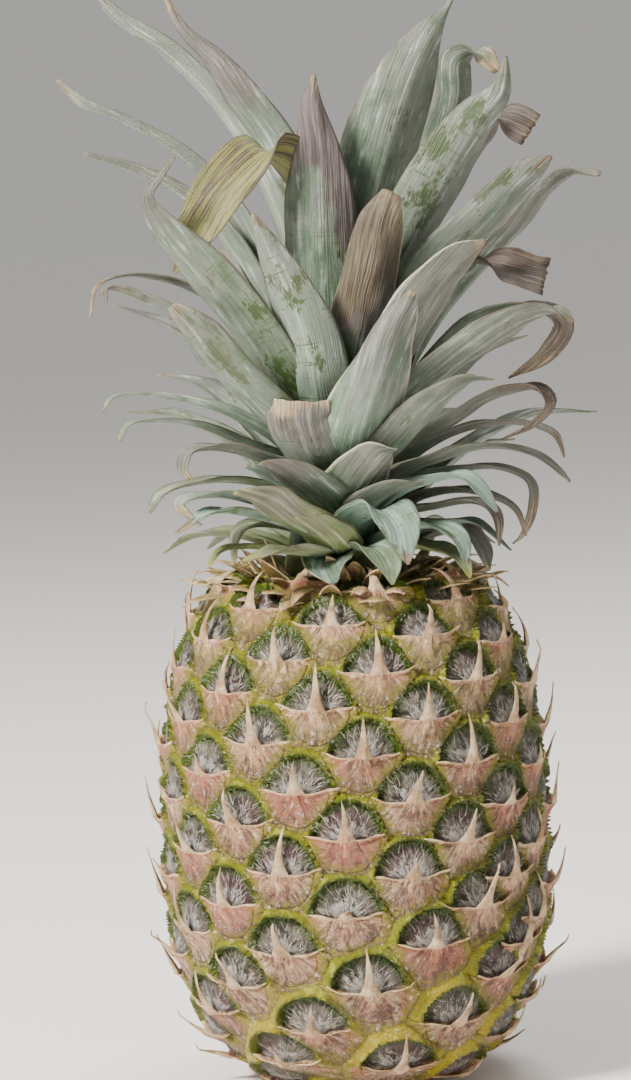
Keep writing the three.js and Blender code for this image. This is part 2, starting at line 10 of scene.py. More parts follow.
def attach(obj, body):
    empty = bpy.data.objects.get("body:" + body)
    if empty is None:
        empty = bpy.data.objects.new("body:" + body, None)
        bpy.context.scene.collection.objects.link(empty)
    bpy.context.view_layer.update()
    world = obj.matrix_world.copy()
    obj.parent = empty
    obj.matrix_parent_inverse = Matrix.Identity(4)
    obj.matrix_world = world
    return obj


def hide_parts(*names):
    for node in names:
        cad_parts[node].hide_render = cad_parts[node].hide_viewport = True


startTime = time.time()
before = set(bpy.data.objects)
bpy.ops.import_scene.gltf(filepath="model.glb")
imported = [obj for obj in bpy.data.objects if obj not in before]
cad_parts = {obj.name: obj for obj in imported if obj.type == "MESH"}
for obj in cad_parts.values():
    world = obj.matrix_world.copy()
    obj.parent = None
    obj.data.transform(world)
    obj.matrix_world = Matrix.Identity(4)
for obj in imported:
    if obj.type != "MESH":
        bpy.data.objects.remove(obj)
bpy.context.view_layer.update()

mm = 0.001

body = {
    "radius": 61.6,            # of the barrel at its widest, mm
    "widest": 76.0,            # height of the widest place
    "lowerReach": 78.4,
    "upperReach": 101.0,
    "power": 2.65,
    "height": 163.0,
    "softness": 5.0,
    "recessRadius": 12.5,      # the hole of the cut stalk
    "recessDepth": 4.8,
    "around": 396,             # faces round the skin
    "alongSkin": 236,
}


def report(text):
    print(f"[{time.time() - startTime:6.1f}s] {text}")


def smooth(x):
    x = np.clip(x, 0.0, 1.0)
    return x * x * (3.0 - 2.0 * x)


def layeredNoise(points, size, seed, layers=3):
    # smooth value noise in three dimensions, in about -1 to 1
    total = np.zeros(len(points))
    weight = 0.0
    for layer in range(layers):
        scaled = points / (size / 2 ** layer) + 17.3 * (layer + 1) + 3.7 * seed
        cell = np.floor(scaled).astype(np.int64)
        part = scaled - cell
        part = part * part * (3 - 2 * part)
        value = np.zeros(len(points))
        for corner in range(8):
            step = np.array([corner & 1, corner >> 1 & 1, corner >> 2 & 1])
            at = cell + step
            mixed = at[:, 0] * 374761393 + at[:, 1] * 668265263 + at[:, 2] * 2147483647 + seed * 974711
            mixed = (mixed ^ (mixed >> 13)) * 1274126177
            mixed = (mixed ^ (mixed >> 16)) & 0xFFFF
            share = np.prod(np.where(step, part, 1 - part), axis=1)
            value += share * (mixed / 32767.5 - 1.0)
        total += value / 2 ** layer
        weight += 1.0 / 2 ** layer
    return total / weight


# The outline of the fruit from the middle of its base to the middle of its top

def bodyOutline():
    turn = np.linspace(-math.pi / 2, math.pi / 2, 1601)
    r = body["radius"] * np.abs(np.cos(turn)) ** (2 / body["power"])
    rise = np.abs(np.sin(turn)) ** (2 / body["power"])
    z = body["widest"] + np.where(turn < 0, -body["lowerReach"], body["upperReach"]) * rise
    drop = body["height"] - np.maximum(z, 0.0)
    z = body["height"] - (drop + np.hypot(drop, body["softness"])) / 2
    z = z - z[0]
    arc = np.concatenate([[0.0], np.cumsum(np.hypot(np.diff(r), np.diff(z)))])
    return arc, r, z


outlineArc, outlineR, outlineZ = bodyOutline()
fullArc = outlineArc[-1]
slopeR = np.gradient(outlineR, outlineArc)
slopeZ = np.gradient(outlineZ, outlineArc)


def outlineAt(arc):
    r = np.interp(arc, outlineArc, outlineR)
    z = np.interp(arc, outlineArc, outlineZ)
    upR = np.interp(arc, outlineArc, slopeR)
    upZ = np.interp(arc, outlineArc, slopeZ)
    length = np.hypot(upR, upZ)
    return r, z, upR / length, upZ / length


def skinPoint(angle, arc, raised, pushed=0.0):
    r, z, upR, upZ = outlineAt(arc)
    radial = r + upZ * raised + upR * pushed
    height = np.maximum(z - upR * raised + upZ * pushed, 0.0)
    return np.stack([radial * np.sin(angle), -radial * np.cos(angle), height], axis=-1)


eyeRows = {
    "first": -50, "last": 90,
    "turn": 137.211, "start": -7.69, "startArc": 100.98,
    "area": 473.4, "areaLoss": 90.8, "areaHeight": 160.0, "meanCell": 471.0, "leastRadius": 12.0,
    "twistSquare": 16.84, "twistCube": -7.12, "twistSpan": 50.0,
    "tilt": 2.72,
    "swellAngle": 27.1, "swellArc": 69.6, "swellSpread": 40.0, "swellAside": 18.76, "swellUp": 9.47,
    "bareTop": 25.0, "bareBase": 30.0,
    "middleUp": 1.5,        # the cell's middle is this far above its lip
    "seed": 4,
}


def cellArea(z):
    return eyeRows["area"] - eyeRows["areaLoss"] * (z / eyeRows["areaHeight"]) ** 3


def eyeArcs():
    # each further eye is higher by the height that its cell's area takes up round the fruit
    arcs = {0: eyeRows["startArc"]}
    for direction in (1, -1):
        arc = eyeRows["startArc"]
        k = direction
        while eyeRows["first"] <= k <= eyeRows["last"]:
            r, z, _, _ = outlineAt(arc)
            arc += direction * cellArea(z) / (2 * math.pi * max(eyeRows["leastRadius"], r))
            if not 0 < arc < fullArc:
                break
            arcs[k] = arc
            k += direction
    return arcs


def eyeCentres():
    # angle, arc, radius and size of each eye, with the spiral's slow twist, tilt and local swelling
    centres = []
    for k, plainArc in eyeArcs().items():
        span = k / eyeRows["twistSpan"]
        turn = eyeRows["start"] + k * eyeRows["turn"]
        angle = math.radians(turn + eyeRows["twistSquare"] * span ** 2 + eyeRows["twistCube"] * span ** 3)
        arc = plainArc + outlineAt(plainArc)[0] * math.tan(math.radians(eyeRows["tilt"])) * math.sin(angle)
        side = math.remainder(angle - math.radians(eyeRows["swellAngle"]), 2 * math.pi)
        spread = eyeRows["swellSpread"]
        away = (side * body["radius"] / spread) ** 2 + ((arc - eyeRows["swellArc"]) / spread) ** 2
        angle += math.exp(-away) * eyeRows["swellAside"] / body["radius"]
        arc += math.exp(-away) * eyeRows["swellUp"]
        r, z, _, _ = outlineAt(arc)
        bare = eyeRows["bareTop"] if z > body["widest"] else eyeRows["bareBase"]
        if r > bare and bare < arc < fullArc - eyeRows["bareTop"]:
            centres.append((angle, arc, r, math.sqrt(cellArea(z) / eyeRows["meanCell"])))
    return np.array(centres)


eyes = eyeCentres()
eyeChance = np.random.default_rng(eyeRows["seed"]).random((len(eyes), 6))
report(f"{len(eyes)} eyes")


def placeInEye(angle, arc, owner):
    # across, up and distance from the cell's middle, in the measures of the eye given for each point
    centre, along, r, size = eyes[owner].T
    side = np.remainder(angle - centre + math.pi, 2 * math.pi) - math.pi
    across = side * (outlineAt(arc)[0] + r) / 2
    up = arc - along
    return across / size, up / size, np.hypot(across, up - eyeRows["middleUp"])


def nearestEyes(angle, arc):
    apart = np.stack([placeInEye(angle, arc, np.full(len(angle), i))[2] for i in range(len(eyes))], axis=1)
    order = np.argpartition(apart, 2, axis=1)[:, :2]
    pair = np.take_along_axis(apart, order, axis=1)
    swapped = pair[:, 0] > pair[:, 1]
    order[swapped] = order[swapped][:, ::-1]
    return order[:, 0], order[:, 1]


# Colour and finish

making = {}      # holds the node tree of the material in hand


def startMaterial(name):
    material = bpy.data.materials.new(name)
    material.use_nodes = True
    material.node_tree.nodes.clear()
    making["tree"] = material.node_tree
    return material


def add(kind, **values):
    node = making["tree"].nodes.new(kind)
    for key, value in values.items():
        setattr(node, key, value)
    return node


def join(source, target):
    making["tree"].links.new(source, target)


def feed(value, target):
    # a socket takes another node's output, a colour or a plain number
    if hasattr(value, "links"):
        join(value, target)
    else:
        target.default_value = (*value, 1.0) if isinstance(value, tuple) else value


def mixColour(amount, low, high, mode="MIX"):
    node = add("ShaderNodeMix", data_type="RGBA", blend_type=mode)
    feed(amount, node.inputs[0])
    feed(low, node.inputs[6])
    feed(high, node.inputs[7])
    return node.outputs[2]


def sums(operation, *values):
    node = add("ShaderNodeMath", operation=operation)
    for value, socket in zip(values, node.inputs):
        feed(value, socket)
    return node.outputs[0]


def plus(first, second):
    return sums("ADD", first, second)


def minus(first, second):
    return sums("SUBTRACT", first, second)


def times(first, second):
    return sums("MULTIPLY", first, second)


def sway(pattern, amount):
    # a pattern's rise above or fall below its middle value
    return times(minus(pattern, 0.5), amount)


def ramp(value, low, high, outLow=0.0, outHigh=1.0):
    node = add("ShaderNodeMapRange", interpolation_type="SMOOTHSTEP")
    for number, socket in zip((value, low, high, outLow, outHigh), node.inputs):
        feed(number, socket)
    return node.outputs[0]


def combined(x, y, z):
    node = add("ShaderNodeCombineXYZ")
    for value, socket in zip((x, y, z), node.inputs):
        feed(value, socket)
    return node.outputs[0]


def attribute(name, output="Fac"):
    return add("ShaderNodeAttribute", attribute_type="GEOMETRY", attribute_name=name).outputs[output]


def objectPlace():
    return add("ShaderNodeTexCoord").outputs["Object"]


def noise(vector, scale, detail=4.0, roughness=0.55):
    node = add("ShaderNodeTexNoise")
    feed(vector, node.inputs["Vector"])
    feed(scale, node.inputs["Scale"])
    feed(detail, node.inputs["Detail"])
    feed(roughness, node.inputs["Roughness"])
    return node.outputs["Fac"]


def stretched(source, scale, turned=0.0):
    node = add("ShaderNodeMapping")
    join(source, node.inputs["Vector"])
    node.inputs["Rotation"].default_value = (0.0, 0.0, turned)
    node.inputs["Scale"].default_value = scale
    return node.outputs["Vector"]


def finishShader(colour, roughness, bumpHeight, bumpDistance, specular, backLight=0.0):
    shader = add("ShaderNodeBsdfPrincipled")
    output = add("ShaderNodeOutputMaterial")
    join(colour, shader.inputs["Base Color"])
    feed(roughness, shader.inputs["Roughness"])
    shader.inputs["Specular IOR Level"].default_value = specular
    shader.inputs["Subsurface Weight"].default_value = backLight
    shader.inputs["Subsurface Radius"].default_value = (0.6, 1.0, 0.3)
    shader.inputs["Subsurface Scale"].default_value = 0.0015
    bump = add("ShaderNodeBump")
    bump.inputs["Strength"].default_value = 1.0
    bump.inputs["Distance"].default_value = bumpDistance
    join(bumpHeight, bump.inputs["Height"])
    join(bump.outputs[0], shader.inputs["Normal"])
    join(shader.outputs[0], output.inputs[0])


def paperColour(u, v, chance, gap, medium, fine):
    # the papery bract: salmon middle, cream streaks, ochre corners and purple specks below, with painted
    # shade in its folds and creases
    turn = plus(sums("ARCTAN2", u, minus(6.0, v)), sway(medium, 0.35))
    fibre = noise(combined(times(turn, 6.5), times(v, 0.12), times(chance, 90.0)), 1.5, 5.0, 0.7)
    side = sums("ABSOLUTE", u)
    salmon = mixColour(ramp(medium, 0.40, 0.60), (0.330, 0.128, 0.072), (0.580, 0.305, 0.195))
    blotch = plus(fibre, sway(fine, 0.5))
    colour = mixColour(ramp(blotch, 0.44, 0.58), salmon, (0.800, 0.555, 0.325))
    # painted shade: the paper darkens where it folds
    foldShade = ramp(plus(medium, sway(fibre, 0.8)), 0.46, 0.38)
    colour = mixColour(times(foldShade, 0.65), colour, (0.165, 0.085, 0.060))
    red = times(ramp(plus(chance, medium), 0.95, 1.40), 0.6)
    colour = mixColour(red, colour, (0.470, 0.105, 0.070))
    corner = ramp(plus(side, sway(medium, 6.0)), 7.5, 11.5)
    colour = mixColour(times(corner, 0.7), colour, (0.470, 0.175, 0.030))
    low = ramp(plus(v, sway(medium, 12.0)), -1.0, -8.0)
    apart = add("ShaderNodeSeparateXYZ")
    join(objectPlace(), apart.inputs[0])
    young = ramp(plus(v, sway(medium, 14.0)), 0.5, -5.5)
    young = times(young, ramp(apart.outputs[2], 0.090, 0.160))
    colour = mixColour(times(young, 0.75), colour, (0.420, 0.375, 0.070))
    flank = ramp(plus(gap, sway(fibre, 18.0)), 7.0, 2.0)
    colour = mixColour(times(flank, 0.85), colour, (0.285, 0.270, 0.012))
    speck = times(ramp(fine, 0.45, 0.54), low)
    colour = mixColour(times(speck, 0.8), colour, (0.130, 0.065, 0.060))
    # painted shade in the creases of the paper at and below the lip
    creaseShade = times(ramp(fibre, 0.42, 0.33), ramp(v, 1.0, -1.5))
    colour = mixColour(times(creaseShade, 0.85), colour, (0.130, 0.055, 0.035))
    flake = times(ramp(plus(fine, times(fibre, 0.6)), 0.88, 0.98), 0.85)
    return mixColour(flake, colour, (0.950, 0.790, 0.600)), fibre


relief = {
    "windowWide": 10.9, "windowTall": 11.4, "windowUp": 0.2,
    "cellShare": 0.26, "cellRoom": 1.9, "cellReach": 9.7,   # how a window follows its cell's border
    "windowEdge": -2.2, "windowDome": 2.0, "lobe": 0.55,
    "rimHeight": 1.5, "rimMiddle": 1.08, "rimSpread": 0.08,
    "outside": -0.2,
    "groove": -1.1, "grooveWidth": 1.1,
    "lipRise": 2.0, "lipHalf": 13.0,       # the lip's corners stand this much above its middle
    "bractLow": -0.9, "bractHigh": 1.0, "bractFall": 10.0, "bractCrease": 0.5,
    "wrinkle": 0.35, "fleshGrain": 0.25, "bractGrain": 0.3,
    "pleats": 52, "pleatRise": 0.06,
    "calmBase": 26.0, "calmTop": 20.0,     # no eyes nearer than this to the ends, along the skin
}


def fleshColour(q, height, pleatAndHighlight, broad, medium, fine):
    # rim and the flesh outside it: deep green, olive outwards, yellower low down
    warm = plus(ramp(height, 0.55, -0.05), sway(broad, 1.5))
    rimGreen = mixColour(ramp(warm, 0.35, 1.0), (0.044, 0.076, 0.001), (0.125, 0.140, 0.002))
    outer = mixColour(ramp(warm, 0.25, 0.95), (0.195, 0.205, 0.002), (0.385, 0.295, 0.004))
    outward = plus(q, sway(fine, 0.25))
    flesh = mixColour(ramp(outward, 1.04, 1.18), rimGreen, outer)
    # painted highlights on the pleats of the rim
    flesh = mixColour(times(pleatAndHighlight, 0.35), flesh, (0.300, 0.330, 0.045))
    glint = times(ramp(medium, 0.54, 0.64), ramp(q, 1.06, 1.16))
    flesh = mixColour(times(glint, 0.55), flesh, (0.520, 0.520, 0.070))
    seam = mixColour(warm, (0.060, 0.060, 0.006), (0.170, 0.100, 0.015))
    return flesh, seam


def domeColour(u, v, chance, q, aboveLip, pleatAndHighlight, broad, medium, fine):
    # the dried flower in the middle: dark green at the rim, deepened by painted shade and lit by painted
    # highlights on its pleats, grey and purple lobes, white wool, and a painted shadow just above the lip
    dome = mixColour(ramp(medium, 0.42, 0.58), (0.034, 0.032, 0.016), (0.190, 0.165, 0.130))
    dome = mixColour(times(ramp(broad, 0.50, 0.58), 0.55), dome, (0.130, 0.050, 0.062))
    woolPlace = ramp(plus(q, times(v, 0.03)), 1.05, 0.30)
    spoke = times(sums("ARCTAN2", u, plus(v, 2.0)), 5.0)
    strand = noise(combined(spoke, times(v, 0.22), times(chance, 70.0)), 1.6, 5.0, 0.7)
    dome = mixColour(ramp(strand, 0.42, 0.34), dome, (0.022, 0.018, 0.012))
    wool = plus(times(fine, 0.7), plus(times(strand, 1.1), times(woolPlace, 0.30)))
    wool = ramp(wool, 1.02, 1.24)
    woolTone = mixColour(medium, (0.440, 0.400, 0.380), (0.900, 0.870, 0.820))
    dome = mixColour(times(wool, 0.95), dome, woolTone)
    # painted shade darkens the dark green inner wall of the rim, and painted highlights lighten its pleats
    rimShadeAndHighlight = mixColour(ramp(fine, 0.45, 0.6), (0.020, 0.034, 0.004), (0.095, 0.135, 0.040))
    rimShadeAndHighlight = mixColour(times(pleatAndHighlight, 0.6), rimShadeAndHighlight, (0.230, 0.270, 0.110))
    dome = mixColour(ramp(q, 0.72, 0.94), dome, rimShadeAndHighlight)
    # painted shadow just above the lip
    dome = mixColour(times(ramp(aboveLip, 1.8, 0.1), 0.6), dome, (0.040, 0.030, 0.022))
    return dome, strand


def skinMaterial():
    material = startMaterial("fruitSkinFinish")
    place = objectPlace()
    broad = noise(place, 45.0)
    medium = noise(place, 190.0, 5.0, 0.65)
    fine = noise(place, 620.0, 5.0, 0.7)
    signedGap = plus(attribute("eyeGap"), plus(sway(medium, 4.0), sway(fine, 5.0)))
    nearer = sums("GREATER_THAN", signedGap, 0.0)
    gap = sums("ABSOLUTE", signedGap)

    def ofNearer(first, other):
        pick = add("ShaderNodeMix", data_type="FLOAT")
        join(nearer, pick.inputs[0])
        join(attribute(other), pick.inputs[2])
        join(attribute(first), pick.inputs[3])
        return pick.outputs[0]

    u = ofNearer("firstU", "otherU")
    v = ofNearer("firstV", "otherV")
    chance = ofNearer("firstChance", "otherChance")
    height = attribute("heightShare")
    calm = attribute("eyeShare")
    # q is 1 where the window ends and the rim begins
    wide = sums("DIVIDE", u, relief["windowWide"])
    tall = sums("DIVIDE", minus(v, relief["windowUp"]), relief["windowTall"])
    q = sums("SQRT", plus(sums("POWER", wide, 2.0), sums("POWER", tall, 2.0)))
    border = minus(1.0 + relief["cellRoom"] / relief["cellReach"],
                   sums("DIVIDE", gap, 2.0 * relief["cellReach"]))
    q = plus(times(q, 1.0 - relief["cellShare"]), times(border, relief["cellShare"]))
    q = plus(q, sway(medium, 0.12))
    lip = times(sums("POWER", sums("DIVIDE", u, relief["lipHalf"]), 2.0), relief["lipRise"])
    above = ramp(minus(v, lip), -0.25, 0.25)
    # the rim is drawn into fine pleats, bumped and lightened by painted highlights
    pleatAndHighlight = sums("SINE", plus(times(sums("ARCTAN2", u, v), 56.0), times(medium, 24.0)))
    pleatAndHighlight = times(ramp(pleatAndHighlight, -0.6, 1.0), times(ramp(q, 0.78, 0.90), ramp(q, 1.05, 0.98)))
    flesh, seam = fleshColour(q, height, pleatAndHighlight, broad, medium, fine)
    dome, strand = domeColour(u, v, chance, q, minus(v, lip), pleatAndHighlight, broad, medium, fine)
    paper, fibre = paperColour(u, v, chance, gap, medium, fine)
    window = ramp(q, 1.0, 0.95)
    upper = mixColour(window, flesh, dome)
    colour = mixColour(above, paper, upper)
    colour = mixColour(times(ramp(plus(gap, sway(fine, 1.6)), 0.70, 0.10), 0.55), colour, seam)
    # bare skin near the crown and round the stalk
    bare = mixColour(ramp(height, 0.2, 0.8), (0.330, 0.250, 0.070), (0.150, 0.125, 0.050))
    bare = mixColour(ramp(medium, 0.4, 0.65), bare, (0.260, 0.150, 0.085))
    colour = mixColour(calm, bare, colour)
    roughness = ramp(plus(times(window, 0.55), minus(1.0, above)), 0.0, 1.0, 0.24, 0.62)
    bump = plus(times(fine, 0.55), medium)
    bump = plus(bump, times(times(fibre, minus(1.0, above)), 0.9))
    bump = plus(bump, times(times(strand, window), 1.2))
    bump = plus(bump, times(times(pleatAndHighlight, above), 0.16))
    finishShader(colour, roughness, bump, 0.0036, 0.6, 0.05)
    return material


def bractMaterial():
    material = startMaterial("bractPaper")
    place = objectPlace()
    u, v = attribute("eyeU"), attribute("eyeV")
    chance = attribute("chance")
    spine = attribute("spinePart")
    medium = noise(place, 190.0, 5.0, 0.65)
    fine = noise(place, 620.0, 5.0, 0.7)
    paper, fibre = paperColour(u, v, chance, minus(16.0, sums("ABSOLUTE", u)), medium, fine)
    cream = mixColour(ramp(medium, 0.35, 0.62), (0.540, 0.310, 0.160), (0.950, 0.720, 0.450))
    amount = plus(ramp(spine, 0.0, 0.35), times(ramp(attribute("edgePart"), 0.60, 0.95), 0.8))
    colour = mixColour(amount, paper, cream)
    tip = times(ramp(spine, 0.75, 1.0), ramp(chance, 0.3, 0.8))
    colour = mixColour(times(tip, 0.7), colour, (0.330, 0.190, 0.110))
    bump = plus(medium, plus(times(fine, 0.4), times(fibre, 0.9)))
    finishShader(colour, 0.52, bump, 0.0026, 0.4, 0.1)
    return material


# Meshes

def newPiece(name, mesh, material, node):
    piece = bpy.data.objects.new(name, mesh)
    bpy.context.scene.collection.objects.link(piece)
    mesh.materials.append(material)
    mesh.shade_smooth()
    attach(piece, "root")
    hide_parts(node)
    return piece


def giveWall(piece, thick):
    # a thin sheet gets its thickness, half to each side
    wall = piece.modifiers.new("wall", "SOLIDIFY")
    wall.thickness = thick * mm
    wall.offset = 0.0
    return wall


def meshFrom(bm, name):
    mesh = bpy.data.meshes.new(name)
    bm.to_mesh(mesh)
    bm.free()
    return mesh


def flatSheet(columns, rows):
    bm = bmesh.new()
    bmesh.ops.create_grid(bm, x_segments=columns, y_segments=rows, size=1.0)
    return bm


def copiedSheet(bm, name, copies):
    # the sheet as many times over, and the number of the copy that each point belongs to
    sheet = bm.verts[:] + bm.edges[:] + bm.faces[:]
    for _ in range(copies - 1):
        bmesh.ops.duplicate(bm, geom=sheet)
    mesh = meshFrom(bm, name)
    points = meshPoints(mesh)
    return mesh, points, np.arange(len(points)) // (len(points) // copies)


def spinProfile(profile, around):
    # a profile of radii and heights, turned once round the upright axis
    bm = bmesh.new()
    verts = [bm.verts.new((r, 0.0, z)) for r, z in profile]
    for a, b in zip(verts, verts[1:]):
        bm.edges.new((a, b))
    bmesh.ops.spin(bm, geom=bm.verts[:] + bm.edges[:], cent=(0, 0, 0), axis=(0, 0, 1), dvec=(0, 0, 0),
                   angle=2 * math.pi, steps=around, use_merge=True)
    bmesh.ops.remove_doubles(bm, verts=bm.verts[:], dist=0.001)
    bmesh.ops.recalc_face_normals(bm, faces=bm.faces[:])
    return bm


def meshPoints(mesh):
    flat = np.empty(len(mesh.vertices) * 3)
    mesh.vertices.foreach_get("co", flat)
    return flat.reshape(-1, 3)


def placePoints(mesh, points):
    mesh.vertices.foreach_set("co", np.ascontiguousarray(points * mm, dtype=np.float32).ravel())
    mesh.update()


def giveValues(mesh, domain="POINT", **values):
    for name, numbers in values.items():
        layer = mesh.attributes.new(name, "FLOAT", domain)
        layer.data.foreach_set("value", np.ascontiguousarray(numbers, dtype=np.float32))


def spunSkin():
    # the fruit without its relief, in millimetres
    radius, depth = body["recessRadius"], body["recessDepth"]
    profile = [(0.0, depth), (radius, depth), (radius, 0.0)]
    arcs = np.linspace(0, fullArc, body["alongSkin"] + 1)
    for arc in arcs[arcs > radius + 0.5]:
        r, z, _, _ = outlineAt(arc)
        profile.append((max(float(r), 0.0), float(z)))
    return meshFrom(spinProfile(profile, body["around"]), "fruitSkin")


def eyeRelief(owner, gap, u, v, noisePlace):
    # how far the skin stands above the plain outline, with q as 1 where the window ends
    chance = eyeChance[owner]
    q = np.hypot(u / relief["windowWide"], (v - relief["windowUp"]) / relief["windowTall"])
    q = q + relief["cellShare"] * (1 + (relief["cellRoom"] - gap / 2) / relief["cellReach"] - q)
    lip = relief["lipRise"] * (u / relief["lipHalf"]) ** 2
    above = smooth((v - lip + 0.5) / 1.0)
    turn = np.arctan2(v, u)
    dome = relief["windowEdge"] + relief["windowDome"] * np.sqrt(np.clip(1 - q ** 2, 0, 1))
    lobes = np.abs(np.sin(1.5 * turn + 1.2 * (chance[:, 2] - 0.5))) ** 0.6 - 0.6
    dome = dome + relief["lobe"] * lobes * smooth((q - 0.1) / 0.3) * smooth((1.0 - q) / 0.2)
    dome = dome + relief["wrinkle"] * layeredNoise(noisePlace, 2.8, 5)
    rim = np.exp(-((q - relief["rimMiddle"]) / relief["rimSpread"]) ** 2)
    outside = relief["outside"] + relief["fleshGrain"] * layeredNoise(noisePlace, 5.0, 3)
    beyond = smooth((q - 0.97) / 0.1)
    rimTop = relief["rimHeight"] + relief["pleatRise"] * np.cos(turn * relief["pleats"] + 6 * chance[:, 3])
    upper = dome * (1 - beyond) + outside * beyond + (rimTop - outside) * rim * beyond
    slope = np.clip((v - lip) / relief["bractFall"] + 1, 0, 1)
    lower = relief["bractLow"] + (relief["bractHigh"] - relief["bractLow"]) * slope ** 1.4
    lower = lower + relief["bractCrease"] * np.exp(-(u / 1.8) ** 2) * slope ** 2
    lower = lower + relief["bractGrain"] * layeredNoise(noisePlace, 3.5, 8)
    height = lower * (1 - above) + upper * above
    groove = smooth((relief["grooveWidth"] - gap) / relief["grooveWidth"])
    return height * (1 - groove) + np.minimum(height, relief["groove"]) * groove


def buildSkin():
    mesh = spunSkin()
    points = meshPoints(mesh)
    angle = np.arctan2(points[:, 0], -points[:, 1])
    r = np.hypot(points[:, 0], points[:, 1])
    # the arc that each ring of points belongs to
    table = np.stack([outlineR, outlineZ], axis=1)
    rings = np.round(np.stack([r, points[:, 2]], axis=1), 2)
    levels, member = np.unique(rings, axis=0, return_inverse=True)
    arc = outlineArc[[np.argmin(np.hypot(*(table - level).T)) for level in levels]][member.ravel()]
    inRecess = (r <= body["recessRadius"] + 0.01) & (points[:, 2] < body["widest"])
    owner, nextOwner = nearestEyes(angle, arc)
    u, v, apart = placeInEye(angle, arc, owner)
    gap = placeInEye(angle, arc, nextOwner)[2] - apart
    calm = smooth((arc - relief["calmBase"]) / 5) * smooth((fullArc - relief["calmTop"] - arc) / 6)
    height = eyeRelief(owner, gap, u, v, points) * calm
    lifted = skinPoint(angle, arc, height)
    lifted[inRecess] = points[inRecess]
    placePoints(mesh, lifted)
    giveValues(mesh, heightShare=points[:, 2] / body["height"], eyeShare=calm)
    # the colours need the eyes' own measures at each face corner, for the nearest two eyes
    corners = np.empty(len(mesh.loops), dtype=np.int32)
    mesh.loops.foreach_get("vertex_index", corners)
    begins = np.empty(len(mesh.polygons), dtype=np.int32)
    mesh.polygons.foreach_get("loop_start", begins)
    sizes = np.diff(np.append(begins, len(corners)))
    turn = np.stack([np.sin(angle), np.cos(angle)], axis=1)[corners]
    middle = np.add.reduceat(turn, begins, axis=0)
    faceArc = np.add.reduceat(arc[corners], begins) / sizes
    faceAngle = np.arctan2(middle[:, 0], middle[:, 1])
    first, other = (np.repeat(eye, sizes) for eye in nearestEyes(faceAngle, faceArc))
    firstU, firstV, firstApart = placeInEye(angle[corners], arc[corners], first)
    otherU, otherV, otherApart = placeInEye(angle[corners], arc[corners], other)
    giveValues(mesh, "CORNER", firstU=firstU, firstV=firstV, firstChance=eyeChance[first, 5],
               otherU=otherU, otherV=otherV, otherChance=eyeChance[other, 5], eyeGap=otherApart - firstApart)
    newPiece("fruitSkin", mesh, skinMaterial(), "fruit")


stalk = {"radius": 12.2, "depth": 4.7, "edge": 0.8, "around": 48}


def stalkMaterial():
    material = startMaterial("stalkFinish")
    place = objectPlace()
    ends = noise(place, 900.0, 3.0, 0.6)
    cloud = noise(place, 160.0, 4.0, 0.6)
    colour = mixColour(ramp(cloud, 0.35, 0.65), (0.360, 0.250, 0.120), (0.600, 0.470, 0.270))
    colour = mixColour(times(ramp(ends, 0.52, 0.62), 0.7), colour, (0.140, 0.085, 0.045))
    finishShader(colour, 0.8, plus(ends, cloud), 0.0012, 0.3)
    return material


def buildStalk():
    radius, depth = stalk["radius"], stalk["depth"]
    bm = spinProfile([(0.0, 0.0), (radius, 0.0), (radius, depth), (0.0, depth)], stalk["around"])
    rims = [e for e in bm.edges if e.is_manifold and e.calc_face_angle() > 1.0]
    bmesh.ops.bevel(bm, geom=rims, offset=stalk["edge"], segments=3, profile=0.5, affect="EDGES",
                    material=-1)
    bmesh.ops.scale(bm, verts=bm.verts[:], vec=(mm, mm, mm))
    newPiece("cutStalk", meshFrom(bm, "cutStalk"), stalkMaterial(), "stalk_stub")


bract = {
    "columns": 26, "rows": 14,
    "halfWidth": 13.2, "footHalf": 3.4, "depth": 7.0,
    "lift": 1.25, "thick": 0.34,
    "spineShare": 0.24, "spineLength": 14.0, "ridge": 1.3, "hollow": 0.8,
    "spineLean": 19.0, "leanSpread": 26.0, "leanBend": 46.0,      # degrees
    "brokenSpines": 0.18, "brokenLength": 0.45,      # shares of all spines and of the usual length
    "hookedSpines": 0.2, "hook": 5.0, "slightHook": 1.6,
    "edgeCurl": 0.45, "cornerFall": 2.2, "mostOut": 5.5, "grain": 0.3,
    "seed": 11,
}


def bractSheet():
    # a sheet with a tongue that stands up from the middle of its upper edge
    bm = flatSheet(bract["columns"], bract["rows"])
    beside = [f for f in bm.faces
              if f.calc_center_median().y > 0 and abs(f.calc_center_median().x) > bract["spineShare"]]
    bmesh.ops.delete(bm, geom=beside, context="FACES")
    return bm


